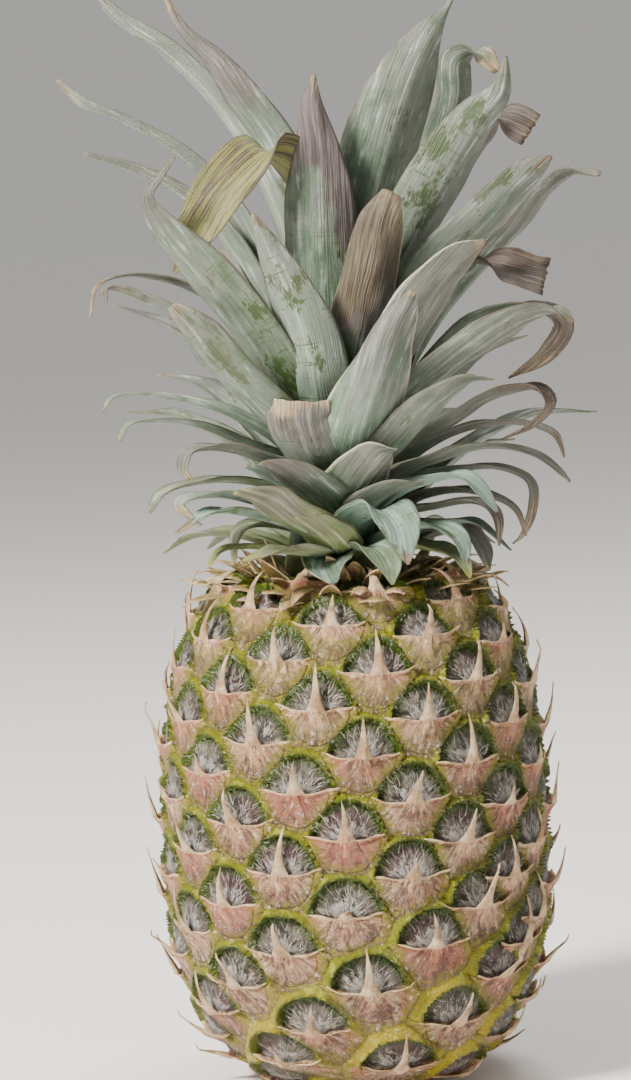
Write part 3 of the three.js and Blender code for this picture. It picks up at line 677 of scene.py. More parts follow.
def buildBracts():
    mesh, grid, owner = copiedSheet(bractSheet(), "fruitBracts", len(eyes))
    x, y = grid[:, 0], grid[:, 1]
    angle, arc, _, size = eyes[owner].T
    chance = np.random.default_rng(bract["seed"]).random((len(eyes), 10))[owner]
    # y runs from the hidden foot (-1) up to the lip, then on along the spine (1)
    sheet = np.clip(y + 1, 0, 1)
    spine = np.clip(y, 0, 1)
    onSpine = (y > 0.001).astype(float)
    half = bract["footHalf"] + (bract["halfWidth"] - bract["footHalf"]) * sheet ** 1.5
    half = half * np.where(x > 0, 0.88 + 0.2 * chance[:, 6], 0.88 + 0.2 * chance[:, 7])
    narrow = 0.52 * (1 - spine) + 0.48 * (1 - spine) ** 5 + 0.02
    across = x * half * np.where(onSpine > 0, narrow, 1.0)
    lip = relief["lipRise"] * (across / relief["lipHalf"]) ** 2
    lip = lip + 0.45 * np.cos(x * 9 + 6 * chance[:, 8]) * sheet ** 4 * np.abs(x)
    up = -bract["depth"] * (1 - sheet) + lip + 0.35 * sheet
    broken = chance[:, 0] < bract["brokenSpines"]
    length = bract["spineLength"] * np.where(broken, bract["brokenLength"], 0.70 + 0.42 * chance[:, 0])
    lean = bract["spineLean"] + bract["leanSpread"] * (chance[:, 1] - 0.5)
    lean = np.radians(lean + bract["leanBend"] * spine * (chance[:, 2] - 0.45))
    up = up + length * spine * np.cos(lean)
    out = np.minimum(length * spine * np.sin(lean), bract["mostOut"])
    edgeFall = bract["cornerFall"] * np.abs(x) ** 2.5 * (1 - sheet ** 3)
    raised = -1.0 + (bract["lift"] + 1.0) * sheet ** 0.8 - edgeFall - 0.9 * np.abs(x) ** 4
    raised = raised + bract["ridge"] * np.exp(-(across / 1.3) ** 2) * sheet ** 2 * (1 - 0.55 * spine)
    hollow = np.exp(-((np.abs(across) - 4.5) / 2.4) ** 2) * sheet ** 2 * (1 - sheet ** 9)
    raised = raised - bract["hollow"] * hollow
    raised = raised + bract["edgeCurl"] * sheet ** 8 * (1 - spine) * (0.5 + chance[:, 3])
    hooked = chance[:, 9] > 1 - bract["hookedSpines"]
    hook = np.where(hooked, bract["hook"], bract["slightHook"]) * (chance[:, 4] - 0.5) * 2
    across = across + hook * spine ** 2.2
    # near both ends of the fruit the spines lie closer to the skin
    low = smooth((arc - 24) / 26)
    top = smooth((fullArc - 24 - arc) / 24)
    out = out * (0.3 + 0.7 * np.minimum(low, top))
    place = arc + up * size
    turn = angle + across * size / np.maximum(outlineAt(place)[0], 12)
    points = skinPoint(turn, place, raised + out)
    wobble = bract["grain"] * layeredNoise(points, 2.6, 21) * (1 - 0.6 * spine)
    points = skinPoint(turn, place, raised + out + wobble)
    placePoints(mesh, points)
    edge = np.maximum(np.abs(x) ** 3 * sheet, smooth((sheet - 0.86) / 0.14))
    giveValues(mesh, eyeU=across, eyeV=up, spinePart=spine, edgePart=edge, chance=eyeChance[owner, 5])
    giveWall(newPiece("fruitBracts", mesh, bractMaterial(), "fruit"), bract["thick"])


wool = {
    "doublings": 13, "rows": 5,       # the first one is doubled this many times
    "length": 3.4, "width": 0.065, "reachWide": 7.6, "reachTall": 7.4, "lift": 0.5, "seed": 37,
}


def woolMaterial():
    material = startMaterial("woolFinish")
    place = objectPlace()
    cloud = noise(place, 260.0, 3.0, 0.6)
    colour = mixColour(attribute("chance"), (0.240, 0.205, 0.170), (0.800, 0.765, 0.700))
    finishShader(colour, 0.6, cloud, 0.0004, 0.35)
    return material


def buildWool():
    # fine hairs that fan out over the dried flower in each window
    bm = flatSheet(1, wool["rows"])
    for _ in range(wool["doublings"]):
        bmesh.ops.duplicate(bm, geom=bm.verts[:] + bm.edges[:] + bm.faces[:])
    mesh = meshFrom(bm, "eyeWool")
    grid = meshPoints(mesh)
    hairs = 2 ** wool["doublings"]
    hair = np.arange(len(grid)) // (len(grid) // hairs)
    chance = np.random.default_rng(wool["seed"]).random((hairs, 7))
    owner = np.arange(hairs) % len(eyes)
    centre, along, r, size = eyes[owner].T
    rootV = 0.7 + wool["reachTall"] * chance[:, 0] ** 1.4
    rootU = wool["reachWide"] * (2 * chance[:, 1] - 1) * np.sqrt(1 - (rootV / 10) ** 2)
    arc = along + rootV * size
    angle = centre + 2 * rootU * size / (outlineAt(arc)[0] + r)
    first, other = nearestEyes(angle, arc)
    gap = placeInEye(angle, arc, other)[2] - placeInEye(angle, arc, first)[2]
    ground = eyeRelief(first, gap, rootU, rootV, skinPoint(angle, arc, 0.0))
    heading = np.arctan2(rootU, rootV + 3.0) + 1.1 * (chance[:, 2] - 0.5)
    length = wool["length"] * (0.4 + 0.8 * chance[:, 3])
    share = (grid[:, 1] + 1) / 2
    turn = heading[hair] + 0.9 * (chance[hair, 4] - 0.5) * share
    reach = length[hair] * share
    half = wool["width"] * (1 - 0.75 * share) * grid[:, 0]
    u = rootU[hair] + reach * np.sin(turn) + half * np.cos(turn)
    v = rootV[hair] + reach * np.cos(turn) - half * np.sin(turn)
    raised = ground[hair] - 0.1 + wool["lift"] * np.sin(2.6 * share) * (0.3 + 1.2 * chance[hair, 5])
    place = along[hair] + v * size[hair]
    side = centre[hair] + 2 * u * size[hair] / (outlineAt(place)[0] + r[hair])
    placePoints(mesh, skinPoint(side, place, raised))
    giveValues(mesh, chance=chance[hair, 6])
    newPiece("eyeWool", mesh, woolMaterial(), "fruit")


collar = {
    "scales": 84, "innerRadius": 19.0, "outerRadius": 44.0,
    "columns": 6, "rows": 8, "length": 12.0, "width": 9.5, "thick": 0.35, "seed": 23,
    "turn": 137.508, "sink": 0.8, "bow": 0.09, "grain": 0.5,
    "innerLift": 62.0, "liftLoss": 52.0, "liftSpread": 26.0, "droop": 40.0,      # degrees
}


def buildCollar():
    sheet = flatSheet(collar["columns"], collar["rows"])
    mesh, grid, owner = copiedSheet(sheet, "collarScales", collar["scales"])
    chance = np.random.default_rng(collar["seed"]).random((collar["scales"], 8))[owner]
    along = (grid[:, 1] + 1) / 2
    share = owner / (collar["scales"] - 1)
    start = collar["innerRadius"] + (collar["outerRadius"] - collar["innerRadius"]) * share ** 0.8
    heading = np.radians(owner * collar["turn"] + 9 * (chance[:, 0] - 0.5))
    length = collar["length"] * (0.6 + 0.8 * chance[:, 1])
    width = collar["width"] * (0.6 + 0.7 * chance[:, 2])
    lift = collar["innerLift"] - collar["liftLoss"] * share + collar["liftSpread"] * (chance[:, 3] - 0.5)
    lift = np.radians(lift - collar["droop"] * along * chance[:, 4])
    across = grid[:, 0] * width / 2 * (1 - along ** 1.8) * (1 - 0.3 * (1 - along) ** 2)
    reach = length * along
    crown = start + reach * np.cos(lift)
    bow = collar["bow"] * across ** 2 * (0.5 + chance[:, 5])
    topHeight = outlineAt(np.maximum(fullArc - start, 0))[1]
    height = topHeight - collar["sink"] + reach * np.sin(lift) - bow
    across = across + (chance[:, 6] - 0.5) * 6 * along ** 2
    points = np.stack([crown * np.sin(heading) + across * np.cos(heading),
                       -crown * np.cos(heading) + across * np.sin(heading), height], axis=1)
    points[:, 2] += collar["grain"] * layeredNoise(points, 3.0, 61) * along
    placePoints(mesh, points)
    giveValues(mesh, eyeU=across * 1.6, eyeV=-8.0 + 7.0 * along, chance=chance[:, 7],
               spinePart=smooth((along - 0.7) / 0.3) * 0.35, edgePart=np.abs(grid[:, 0]) ** 3)
    paper = bpy.data.materials["bractPaper"]
    giveWall(newPiece("collarScales", mesh, paper, "fruit"), collar["thick"])


# Crown

stem = {
    "start": 163.2, "radius": 20.0, "topRadius": 4.0, "top": 236.0,
    "levels": [164.7, 175.0, 185.0, 197.0, 210.0, 223.0], "tipRise": 3.0,
    "rootSink": 3.0, "rootNarrow": 0.55, "around": 32,
}

blade = {
    "columns": 14, "rows": 48,
    "thick": 1.05, "edgeThin": 0.35, "tipThin": 0.45,
    "cup": 38.0, "tipCup": 0.65, "fold": 3.0,
    "wave": 0.45, "slowRipple": 17, "fastRipple": 31, "crumpleSize": 7.0,
    "keel": 0.22, "rootWiden": 0.55, "leastHalf": 0.25, "firstSeed": 100,
}

# What a leaf looks like where its own row says nothing else, shares from 0 to 1
plainLook = {
    "pale": 0.35, "olive": 0.0, "teal": 0.0,
    "purple": 0.0, "purpleFrom": 0.5,
    "dryFrom": 0.94, "dryTone": 0.7,
    "rubbed": 0.35, "edge": 0.25, "crumple": 0.35, "rollLeft": 0.0, "rollRight": 0.0, "torn": 0.0,
}

leafLooks = {
    "front_cut": {"pale": 0.6, "purple": 0.7, "purpleFrom": 0.55, "dryFrom": 0.88, "dryTone": 0.45,
        "rubbed": 0.8, "crumple": 0.5, "torn": 0.6},
    "front_curled": {"pale": 0.35, "purple": 0.55, "edge": 1.0, "rubbed": 0.15, "rollLeft": 1.5,
        "teal": 0.2},
    "front_short": {"pale": 0.3, "rubbed": 0.2, "purple": 0.35, "purpleFrom": 0.5, "edge": 0.7},
    "front_pale": {"pale": 0.95, "purple": 0.25, "purpleFrom": 0.7, "rubbed": 0.9},
    "left_large": {"pale": 0.5, "olive": 0.1, "purple": 0.6, "purpleFrom": 0.55, "dryFrom": 0.88,
        "dryTone": 0.9, "rubbed": 0.75, "crumple": 0.6},
    "left_broad": {"pale": 0.4, "rubbed": 0.8, "purple": 0.3, "purpleFrom": 0.6},
    "left_folded": {"pale": 0.25, "olive": 0.7, "dryFrom": 0.4, "dryTone": 0.8, "crumple": 0.5,
        "edge": 0.2},
    "middle_dark": {"pale": 0.4, "purple": 1.0, "purpleFrom": 0.52, "crumple": 0.9, "rubbed": 0.5},
    "middle_dried": {"pale": 0.35, "olive": 0.1, "purple": 0.9, "purpleFrom": 0.3, "dryFrom": 0.5,
        "dryTone": 1.0, "edge": 1.0, "crumple": 0.9, "rollLeft": 1.4, "rollRight": 0.3},
    "top_large": {"pale": 0.42, "rubbed": 0.3, "purple": 0.12},
    "top_behind": {"pale": 0.4, "dryFrom": 0.86, "dryTone": 0.3, "crumple": 0.9},
    "top_left_dark": {"pale": 0.75, "purple": 0.75, "purpleFrom": 0.5, "dryFrom": 0.9, "crumple": 1.0},
    "top_left_pale": {"pale": 1.0, "rubbed": 0.1},
    "far_left_high": {"pale": 1.0, "rubbed": 0.1, "dryTone": 0.9},
    "far_left_middle": {"pale": 0.8, "purple": 0.2, "rubbed": 0.15, "dryFrom": 0.92, "dryTone": 1.0},
    "right_large": {"pale": 0.55, "rubbed": 0.6},
    "right_cut_high": {"torn": 0.9, "pale": 0.3, "purple": 1.0, "purpleFrom": 0.4, "dryFrom": 0.72,
        "dryTone": 1.2, "crumple": 0.7},
    "right_high": {"pale": 0.48, "rubbed": 0.45, "purple": 0.15},
    "right_thin_cut": {"torn": 0.8, "pale": 0.35, "purple": 0.45, "purpleFrom": 0.3, "rubbed": 0.4},
    "right_middle": {"pale": 0.38, "purple": 0.45, "purpleFrom": 0.25, "rubbed": 0.35, "edge": 0.8},
    "right_flag": {"torn": 0.9, "purple": 0.5, "dryFrom": 0.55, "dryTone": 1.25, "crumple": 0.8},
    "right_arched": {"pale": 0.38, "purple": 0.35, "purpleFrom": 0.2},
    "right_folded": {"purple": 0.5, "dryFrom": 0.5, "dryTone": 0.9, "crumple": 0.5},
    "right_low": {"pale": 0.3, "purple": 0.3, "purpleFrom": 0.3},
    "right_hooked": {"pale": 0.2, "purple": 0.6, "purpleFrom": 0.1, "dryFrom": 0.55, "dryTone": 0.95},
    "right_slender": {"purple": 0.6, "purpleFrom": 0.2, "dryFrom": 0.8, "dryTone": 0.8},
    "right_long": {"purple": 0.45, "purpleFrom": 0.1, "rubbed": 0.2},
    "right_drooping": {"purple": 0.5, "purpleFrom": 0.2, "dryFrom": 0.7, "dryTone": 0.7},
    "right_small_a": {"pale": 0.7, "teal": 0.9, "rubbed": 0.1},
    "right_small_b": {"pale": 0.25, "purple": 0.4, "purpleFrom": 0.2, "dryFrom": 0.85},
    "right_small_c": {"pale": 0.25, "purple": 0.5, "purpleFrom": 0.2, "dryFrom": 0.75, "dryTone": 0.9},
    "right_grey": {"purple": 0.25, "purpleFrom": 0.1, "rubbed": 0.1},
    "front_drooping": {"pale": 0.35, "teal": 0.9, "rubbed": 0.6, "edge": 0.5, "crumple": 0.9},
    "left_olive": {"pale": 0.3, "olive": 0.9, "purple": 0.7, "purpleFrom": 0.55, "rubbed": 0.3},
    "front_olive": {"pale": 0.3, "olive": 1.0, "purple": 0.5, "purpleFrom": 0.7, "dryFrom": 0.93,
        "dryTone": 0.3, "rubbed": 0.2},
    "left_grey": {"pale": 0.3, "purple": 0.6, "purpleFrom": 0.6, "rubbed": 0.1},
    "left_white": {"pale": 0.9, "teal": 0.4},
    "left_long_a": {"pale": 0.5, "teal": 0.4, "rubbed": 0.5},
    "left_long_b": {"pale": 0.45, "teal": 0.3},
    "left_hooked": {"pale": 0.4, "purple": 0.4, "purpleFrom": 0.3, "dryTone": 0.2, "dryFrom": 0.85},
    "left_arched": {"olive": 0.35, "purple": 0.2, "rubbed": 0.3},
    "left_silver": {"pale": 0.95, "teal": 0.3, "dryFrom": 0.85, "dryTone": 0.3},
    "far_left_low_a": {"pale": 0.5, "purple": 0.4, "purpleFrom": 0.3, "dryFrom": 0.8, "dryTone": 0.8},
    "far_left_low_b": {"pale": 0.75, "purple": 0.2, "dryFrom": 0.88, "dryTone": 0.9},
}

basalLooks = {
    "front_flap": {"pale": 0.3, "teal": 0.7, "edge": 0.6, "rubbed": 0.7, "crumple": 0.8},
    "front_tongue": {"pale": 0.3, "teal": 0.8, "olive": 0.4, "rubbed": 0.6, "crumple": 0.9},
    "left_shoulder": {"pale": 0.4, "olive": 0.7, "purple": 0.3, "dryFrom": 0.85, "dryTone": 0.4},
    "left_thin": {"pale": 0.1, "olive": 1.0},
    "left_teal": {"pale": 0.4, "teal": 0.9, "rubbed": 0.5},
    "left_dark": {"pale": 0.1, "olive": 0.6, "purple": 0.4},
    "right_teal": {"pale": 0.35, "teal": 0.9, "rubbed": 0.5, "crumple": 0.7},
    "right_yellow": {"pale": 0.2, "olive": 1.0, "teal": 0.2},
    "right_dark": {"pale": 0.15, "purple": 0.7, "purpleFrom": 0.2},
    "right_thin": {"pale": 0.4, "teal": 0.6},
}

# Root heading, height and width; then across, out, height and width at each further knot;
# then the heading that the face has at the root and at the tip
leafRows = {
    "front_cut": [[-12, 186, 18], [[-9, 40, 201, 23], [-13, 47, 213, 23], [-13, 49, 220, 22]],
        [-20, -15]],
    "front_curled": [[8, 181, 18], [[5, 44, 206, 26], [11, 54, 224, 24], [16, 57, 238, 17],
        [21, 57, 248, 9], [23, 55, 252, 3]], [15, 10]],
    "front_short": [[6, 177, 18], [[3, 38, 190, 24], [8, 46, 198, 20], [13, 49, 203, 11],
        [17, 50, 204, 1.5]], [15, 20]],
    "front_pale": [[-16, 193, 18], [[-7, 34, 219, 25], [-10, 42, 240, 21], [-15, 46, 255, 15],
        [-20, 48, 267, 8], [-24, 48, 277, 1.2]], [-15, -15]],
    "left_large": [[-36, 186, 17], [[-17, 30, 221, 22], [-29, 38, 243, 23], [-41, 42, 259, 21],
        [-51, 44, 272, 14], [-56, 44, 283, 5], [-52, 44, 289, 3], [-47, 44, 295, 0.8]], [-45, -30]],
    "left_broad": [[-32, 180, 16], [[-13, 34, 204, 20], [-25, 42, 219, 20], [-36, 45, 232, 18],
        [-44, 46, 243, 14], [-50, 46, 250, 4]], [-45, -30]],
    "left_folded": [[-30, 206, 13], [[-4, 12, 253, 15], [-8, 18, 287, 16], [-19, 24, 296, 17],
        [-33, 30, 285, 18], [-42, 33, 272, 13], [-49, 34, 260, 1.5]], [-25, 0]],
    "middle_dark": [[-14, 203, 17], [[-4, 18, 240, 24], [-4, 22, 265, 24.5], [-4, 24, 282, 23],
        [-4, 25, 296, 15], [-5, 25, 310, 7], [-4, 25, 319, 1]], [-10, 0]],
    "middle_dried": [[12, 196, 17], [[3, 30, 225, 20], [8, 38, 246, 22], [12, 42, 263, 21],
        [15, 44, 275, 17], [18, 42, 282, 8]], [15, 10]],
    "top_large": [[28, 208, 17], [[5, 8, 249, 26], [13, 12, 283, 28], [20, 14, 304, 26.5],
        [27, 15, 321, 19], [33, 15, 332, 9], [37, 14, 337, 3], [43, 14, 347, 1]], [30, 10]],
    "top_behind": [[120, 208, 15], [[20, -16, 261, 20], [35, -16, 295, 17], [41, -14, 312, 14],
        [42, -12, 323, 12], [48, -10, 325, 10], [54, -8, 319, 3]], [60, 10]],
    "top_left_dark": [[-70, 208, 13], [[-6, 0, 263, 17], [-17, 0, 297, 16], [-27, 2, 313, 14],
        [-36, 3, 326, 8], [-45, 3, 336, 4], [-51, 3, 349, 1.2]], [-50, -10]],
    "top_left_pale": [[-120, 207, 11], [[-15, -14, 270, 12], [-31, -14, 307, 11], [-50, -12, 329, 9.5],
        [-65, -10, 340, 6.5], [-73, -8, 350, 1.5]], [-60, -20]],
    "far_left_high": [[-112, 199, 10], [[-17, -14, 240, 11], [-31, -14, 277, 10], [-48, -12, 297, 8.5],
        [-67, -10, 309, 6], [-78, -10, 314, 5], [-86, -10, 322, 1]], [-60, -25]],
    "far_left_middle": [[-95, 195, 11], [[-15, -10, 227, 12], [-30, -10, 263, 11], [-45, -8, 282, 9],
        [-62, -6, 292, 7.5], [-78, -4, 298, 2.5]], [-60, -30]],
    "right_large": [[42, 203, 17], [[13, 20, 246, 23], [25, 26, 269, 25], [37, 30, 290, 23],
        [46, 31, 303, 16], [53, 31, 311, 8], [55, 31, 322, 1]], [45, 20]],
    "right_cut_high": [[100, 204, 13], [[28, -16, 264, 16], [46, -14, 298, 16], [54, -12, 304, 16],
        [64, -10, 299, 15]], [70, 10]],
    "right_high": [[52, 195, 16], [[18, 22, 236, 20], [32, 28, 258, 20], [47, 30, 272, 19],
        [58, 30, 283, 14], [64, 29, 288, 8], [68, 28, 291, 1.5]], [50, 25]],
    "right_thin_cut": [[118, 199, 10], [[33, -20, 241, 11], [60, -20, 270, 10], [69, -18, 281, 9],
        [77, -16, 286, 8], [86, -14, 285, 7.5]], [70, 20]],
    "right_middle": [[30, 189, 17], [[11, 34, 219, 21], [21, 42, 238, 21], [30, 45, 252, 18],
        [39, 46, 261, 12], [46, 46, 266, 1.5]], [35, 25]],
    "right_flag": [[76, 196, 13], [[20, 6, 236, 15], [36, 12, 256, 15], [47, 14, 259, 12],
        [56, 14, 256, 15], [66, 14, 253, 15]], [60, 10]],
    "right_arched": [[45, 185, 16], [[15, 26, 210, 19], [31, 32, 225, 18], [47, 34, 236, 16],
        [59, 33, 242, 11], [69, 31, 243, 5], [73, 30, 240, 0.8]], [45, 20]],
    "right_folded": [[80, 188, 14], [[25, 8, 218, 15], [45, 12, 240, 15], [62, 14, 244, 12],
        [70, 14, 239, 10], [65, 14, 231, 9], [53, 14, 223, 1]], [65, 30]],
    "right_low": [[28, 180, 16], [[10, 34, 197, 20], [20, 42, 208, 19], [30, 46, 218, 14],
        [40, 47, 224, 7], [47, 46, 224, 1]], [40, 30]],
    "right_hooked": [[62, 182, 13], [[18, 16, 200, 14], [34, 20, 209, 13], [50, 21, 218, 11],
        [62, 20, 219, 9], [65, 20, 215, 7], [58, 19, 208, 5], [50, 18, 204, 1]], [60, 50]],
    "right_slender": [[98, 182, 11], [[25, -6, 199, 12], [44, -4, 207, 10], [59, -4, 207, 6],
        [68, -4, 203, 4.5], [71, -4, 196, 0.8]], [75, 50]],
    "right_long": [[55, 178, 13], [[18, 18, 193, 15], [32, 22, 199, 12], [46, 22, 202, 7],
        [60, 21, 199, 4.5], [68, 20, 193, 3], [71, 20, 190, 0.8]], [55, 40]],
    "right_drooping": [[80, 176, 11], [[21, 4, 190, 12], [37, 6, 194, 9], [50, 6, 194, 6],
        [59, 6, 189, 6], [59, 6, 181, 6], [56, 6, 173, 3], [53, 6, 170, 0.6]], [70, 50]],
    "right_small_a": [[36, 176, 13], [[14, 30, 187, 14], [27, 37, 193, 11], [37, 39, 194, 8],
        [43, 39, 189, 5.5], [47, 38, 183, 1]], [45, 35]],
    "right_small_b": [[68, 173, 11], [[21, 10, 184, 12], [35, 13, 188, 9], [48, 13, 185, 6],
        [54, 13, 181, 4], [57, 13, 173, 1]], [65, 50]],
    "right_small_c": [[50, 172, 11], [[17, 18, 181, 12], [30, 22, 184, 10], [41, 22, 185, 7],
        [47, 22, 181, 6], [48, 22, 171, 1]], [60, 45]],
    "right_grey": [[22, 174, 14], [[8, 36, 185, 18], [16, 42, 191, 14], [25, 44, 193, 3]], [35, 30]],
    "front_drooping": [[12, 171, 14], [[5, 38, 182, 17], [13, 46, 185, 17], [17, 50, 180, 13],
        [19, 50, 169, 1]], [20, 10]],
    "left_olive": [[-18, 169, 16], [[-8, 40, 177, 22], [-16, 48, 183, 22], [-25, 52, 190, 16],
        [-33, 53, 193, 3]], [-30, -30]],
    "front_olive": [[-6, 168, 15], [[-3, 40, 174, 18], [-8, 48, 180, 16], [-15, 51, 185, 4]], [-10, -20]],
    "left_grey": [[-14, 177, 16], [[-6, 36, 187, 21], [-13, 44, 194, 19], [-22, 47, 200, 8],
        [-25, 47, 201, 2]], [-25, -25]],
    "left_white": [[-34, 176, 12], [[-13, 30, 189, 14], [-24, 36, 197, 11], [-30, 38, 200, 3]],
        [-40, -30]],
    "left_long_a": [[-46, 183, 13], [[-16, 24, 202, 15], [-31, 30, 214, 11], [-46, 32, 220, 8],
        [-63, 32, 223, 4.5], [-70, 32, 222, 2.5], [-73, 32, 218, 0.8]], [-55, -40]],
    "left_long_b": [[-62, 179, 12], [[-16, 14, 196, 12], [-32, 18, 206, 10], [-45, 19, 212, 7],
        [-59, 19, 214, 4.5], [-66, 19, 213, 3.5], [-69, 19, 208, 2]], [-60, -45]],
    "left_hooked": [[-48, 177, 12], [[-15, 20, 194, 14], [-28, 26, 202, 12], [-40, 28, 205, 10],
        [-47, 28, 204, 7], [-49, 28, 200, 5], [-47, 28, 196, 2]], [-55, -40]],
    "left_arched": [[-66, 174, 11], [[-14, 10, 187, 12], [-29, 14, 193, 9.5], [-43, 15, 194, 8],
        [-56, 15, 191, 6.5], [-61, 15, 185, 3]], [-65, -45]],
    "left_silver": [[-38, 171, 12], [[-14, 26, 182, 14], [-27, 33, 188, 12], [-39, 35, 191, 9],
        [-50, 35, 189, 5], [-44, 35, 182, 1]], [-50, -30]],
    "far_left_low_a": [[-118, 191, 11], [[-22, -20, 233, 12], [-45, -18, 253, 9], [-66, -16, 259, 4.5],
        [-76, -15, 256, 3], [-79, -15, 246, 0.8]], [-70, -50]],
    "far_left_low_b": [[-96, 188, 12], [[-22, -12, 222, 13], [-42, -12, 239, 11], [-59, -10, 250, 9],
        [-73, -10, 255, 3.5], [-73, -10, 251, 0.6]], [-65, -35]],
}

basalRows = {
    "front_flap": [[-7, 166, 14], [[-5, 36, 170, 17], [-6, 44, 168, 14], [-4, 49, 164, 3]], [-10, 0]],
    "front_tongue": [[7, 167, 13], [[5, 36, 173, 16], [10, 44, 173, 14], [13, 48, 169, 9],
        [14, 50, 163, 1]], [15, 10]],
    "left_shoulder": [[-24, 166, 13], [[-11, 40, 172, 15], [-21, 48, 174, 12], [-31, 50, 172, 2]],
        [-40, -30]],
    "left_thin": [[-48, 167, 9], [[-17, 20, 171, 9], [-31, 26, 174, 7], [-39, 28, 173, 4],
        [-43, 28, 168, 0.8]], [-60, -40]],
    "left_teal": [[-60, 169, 11], [[-15, 22, 178, 12], [-28, 32, 184, 11], [-40, 36, 186, 8],
        [-52, 38, 180, 1.2]], [-50, -35]],
    "left_dark": [[-75, 168, 12], [[-14, 12, 176, 14], [-26, 18, 180, 12], [-33, 20, 178, 7],
        [-35, 20, 168, 1]], [-60, -40]],
    "right_teal": [[32, 169, 13], [[17, 30, 177, 14], [28, 37, 179, 12], [35, 40, 175, 8],
        [37, 42, 168, 2]], [50, 35]],
    "right_yellow": [[44, 166, 11], [[20, 26, 172, 12], [30, 34, 171, 10], [36, 38, 168, 6],
        [38, 39, 163, 1]], [50, 30]],
    "right_dark": [[88, 168, 11], [[24, 4, 175, 12], [38, 8, 175, 10], [43, 9, 169, 8],
        [45, 9, 162, 1.5]], [65, 40]],
    "right_thin": [[66, 169, 10], [[19, 12, 176, 11], [30, 16, 178, 9], [41, 17, 178, 6],
        [52, 17, 169, 0.8]], [65, 50]],
}

# The guessed leaves: their count and headings, then the measures of the first and what each next one adds
backLeaves = {
    "leaves": 13, "spread": 156.0, "goldenShare": 0.618034,
    "rootZ": (207, -32), "lean": (14, 32), "bow": (22, 36), "length": (104, -20), "width": (24, -7),
}

footLeaves = {
    "leaves": 9, "from": 112, "spread": 136, "rootZ": 167, "lean": 68, "bow": 62,
    "length": 38, "longer": 6, "width": 14,
}

skirtLeaves = {
    "leaves": 6, "spread": 132, "rootZ": 175, "higher": 5, "lean": 44, "bow": 52,
    "length": 56, "longer": 9, "width": 18,
}

heartLeaves = {
    "leaves": 4, "turn": 137.508, "rootZ": 222, "lower": 3, "lean": 4, "bow": 8,
    "length": 52, "shorter": 3, "width": 11,
}


def stemRadiusAt(z):
    t = min(max((z - stem["start"]) / (stem["top"] - stem["start"]), 0.0), 1.0)
    return stem["radius"] + (stem["topRadius"] - stem["radius"]) * t


def listedBlade(row):
    (heading, z, width), further, face = row
    r = stemRadiusAt(z) - stem["rootSink"]
    turn = math.radians(heading)
    root = [r * math.sin(turn), r * math.cos(turn), z, width * stem["rootNarrow"]]
    return [root, *further], face


def archedBlade(heading, rootZ, lean, bow, length, width):
    knots = []
    radius, z = stemRadiusAt(rootZ) - stem["rootSink"], rootZ
    turn = math.radians(heading)
    for j in range(5):
        t = j / 4
        narrow = stem["rootNarrow"] + (1 - stem["rootNarrow"]) * min(1, t / 0.3)
        across = width * narrow * (1 - t ** 3) + 1
        knots.append([radius * math.sin(turn), radius * math.cos(turn), z, across])
        tilt = math.radians(lean + bow * ((j + 0.5) / 4) ** 2)
        radius += length / 4 * math.sin(tilt)
        z += length / 4 * math.cos(tilt)
    return knots, [heading, heading]


def curveThrough(knots, steps):
    # centripetal Catmull-Rom, with the width carried along as a fourth measure
    rows = np.array([(x, -out, z, width) for x, out, z, width in knots], dtype=float)
    rows = np.vstack([2 * rows[0] - rows[1], rows, 2 * rows[-1] - rows[-2]])
    gaps = np.sqrt(np.linalg.norm(np.diff(rows[:, :3], axis=0), axis=1))
    times = np.concatenate([[0.0], np.cumsum(gaps[1:-1])])
    wanted = np.linspace(0, times[-1], steps)
    part = np.clip(np.searchsorted(times, wanted, side="right") - 1, 0, len(times) - 2)
    inside = ((wanted - times[part]) / gaps[part + 1])[:, None]
    a, b, c, d = (rows[part + i] for i in range(4))
    before, here, after = (gaps[part + i][:, None] for i in range(3))
    leave = (b - a) / before - (c - a) / (before + here) + (c - b) / here
    arrive = (c - b) / here - (d - b) / (here + after) + (d - c) / after
    leave, arrive = leave * here, arrive * here
    curve = b + leave * inside + (3 * (c - b) - 2 * leave - arrive) * inside ** 2
    curve = curve + (2 * (b - c) + leave + arrive) * inside ** 3
    return curve[:, :3], curve[:, 3], wanted / times[-1]


def bladeFrame(centre, face, share):
    # how far along each station is, and the ways across the blade and into its hollow side
    along = np.gradient(centre, axis=0)
    along /= np.linalg.norm(along, axis=1)[:, None]
    reached = np.concatenate([[0.0], np.cumsum(np.linalg.norm(np.diff(centre, axis=0), axis=1))])
    heading = np.radians(face[0] + (face[1] - face[0]) * share)
    across = np.stack([np.cos(heading), np.sin(heading), np.zeros(len(share))], axis=1)
    across -= (across * along).sum(axis=1)[:, None] * along
    across /= np.linalg.norm(across, axis=1)[:, None]
    return reached, across, np.cross(along, across)


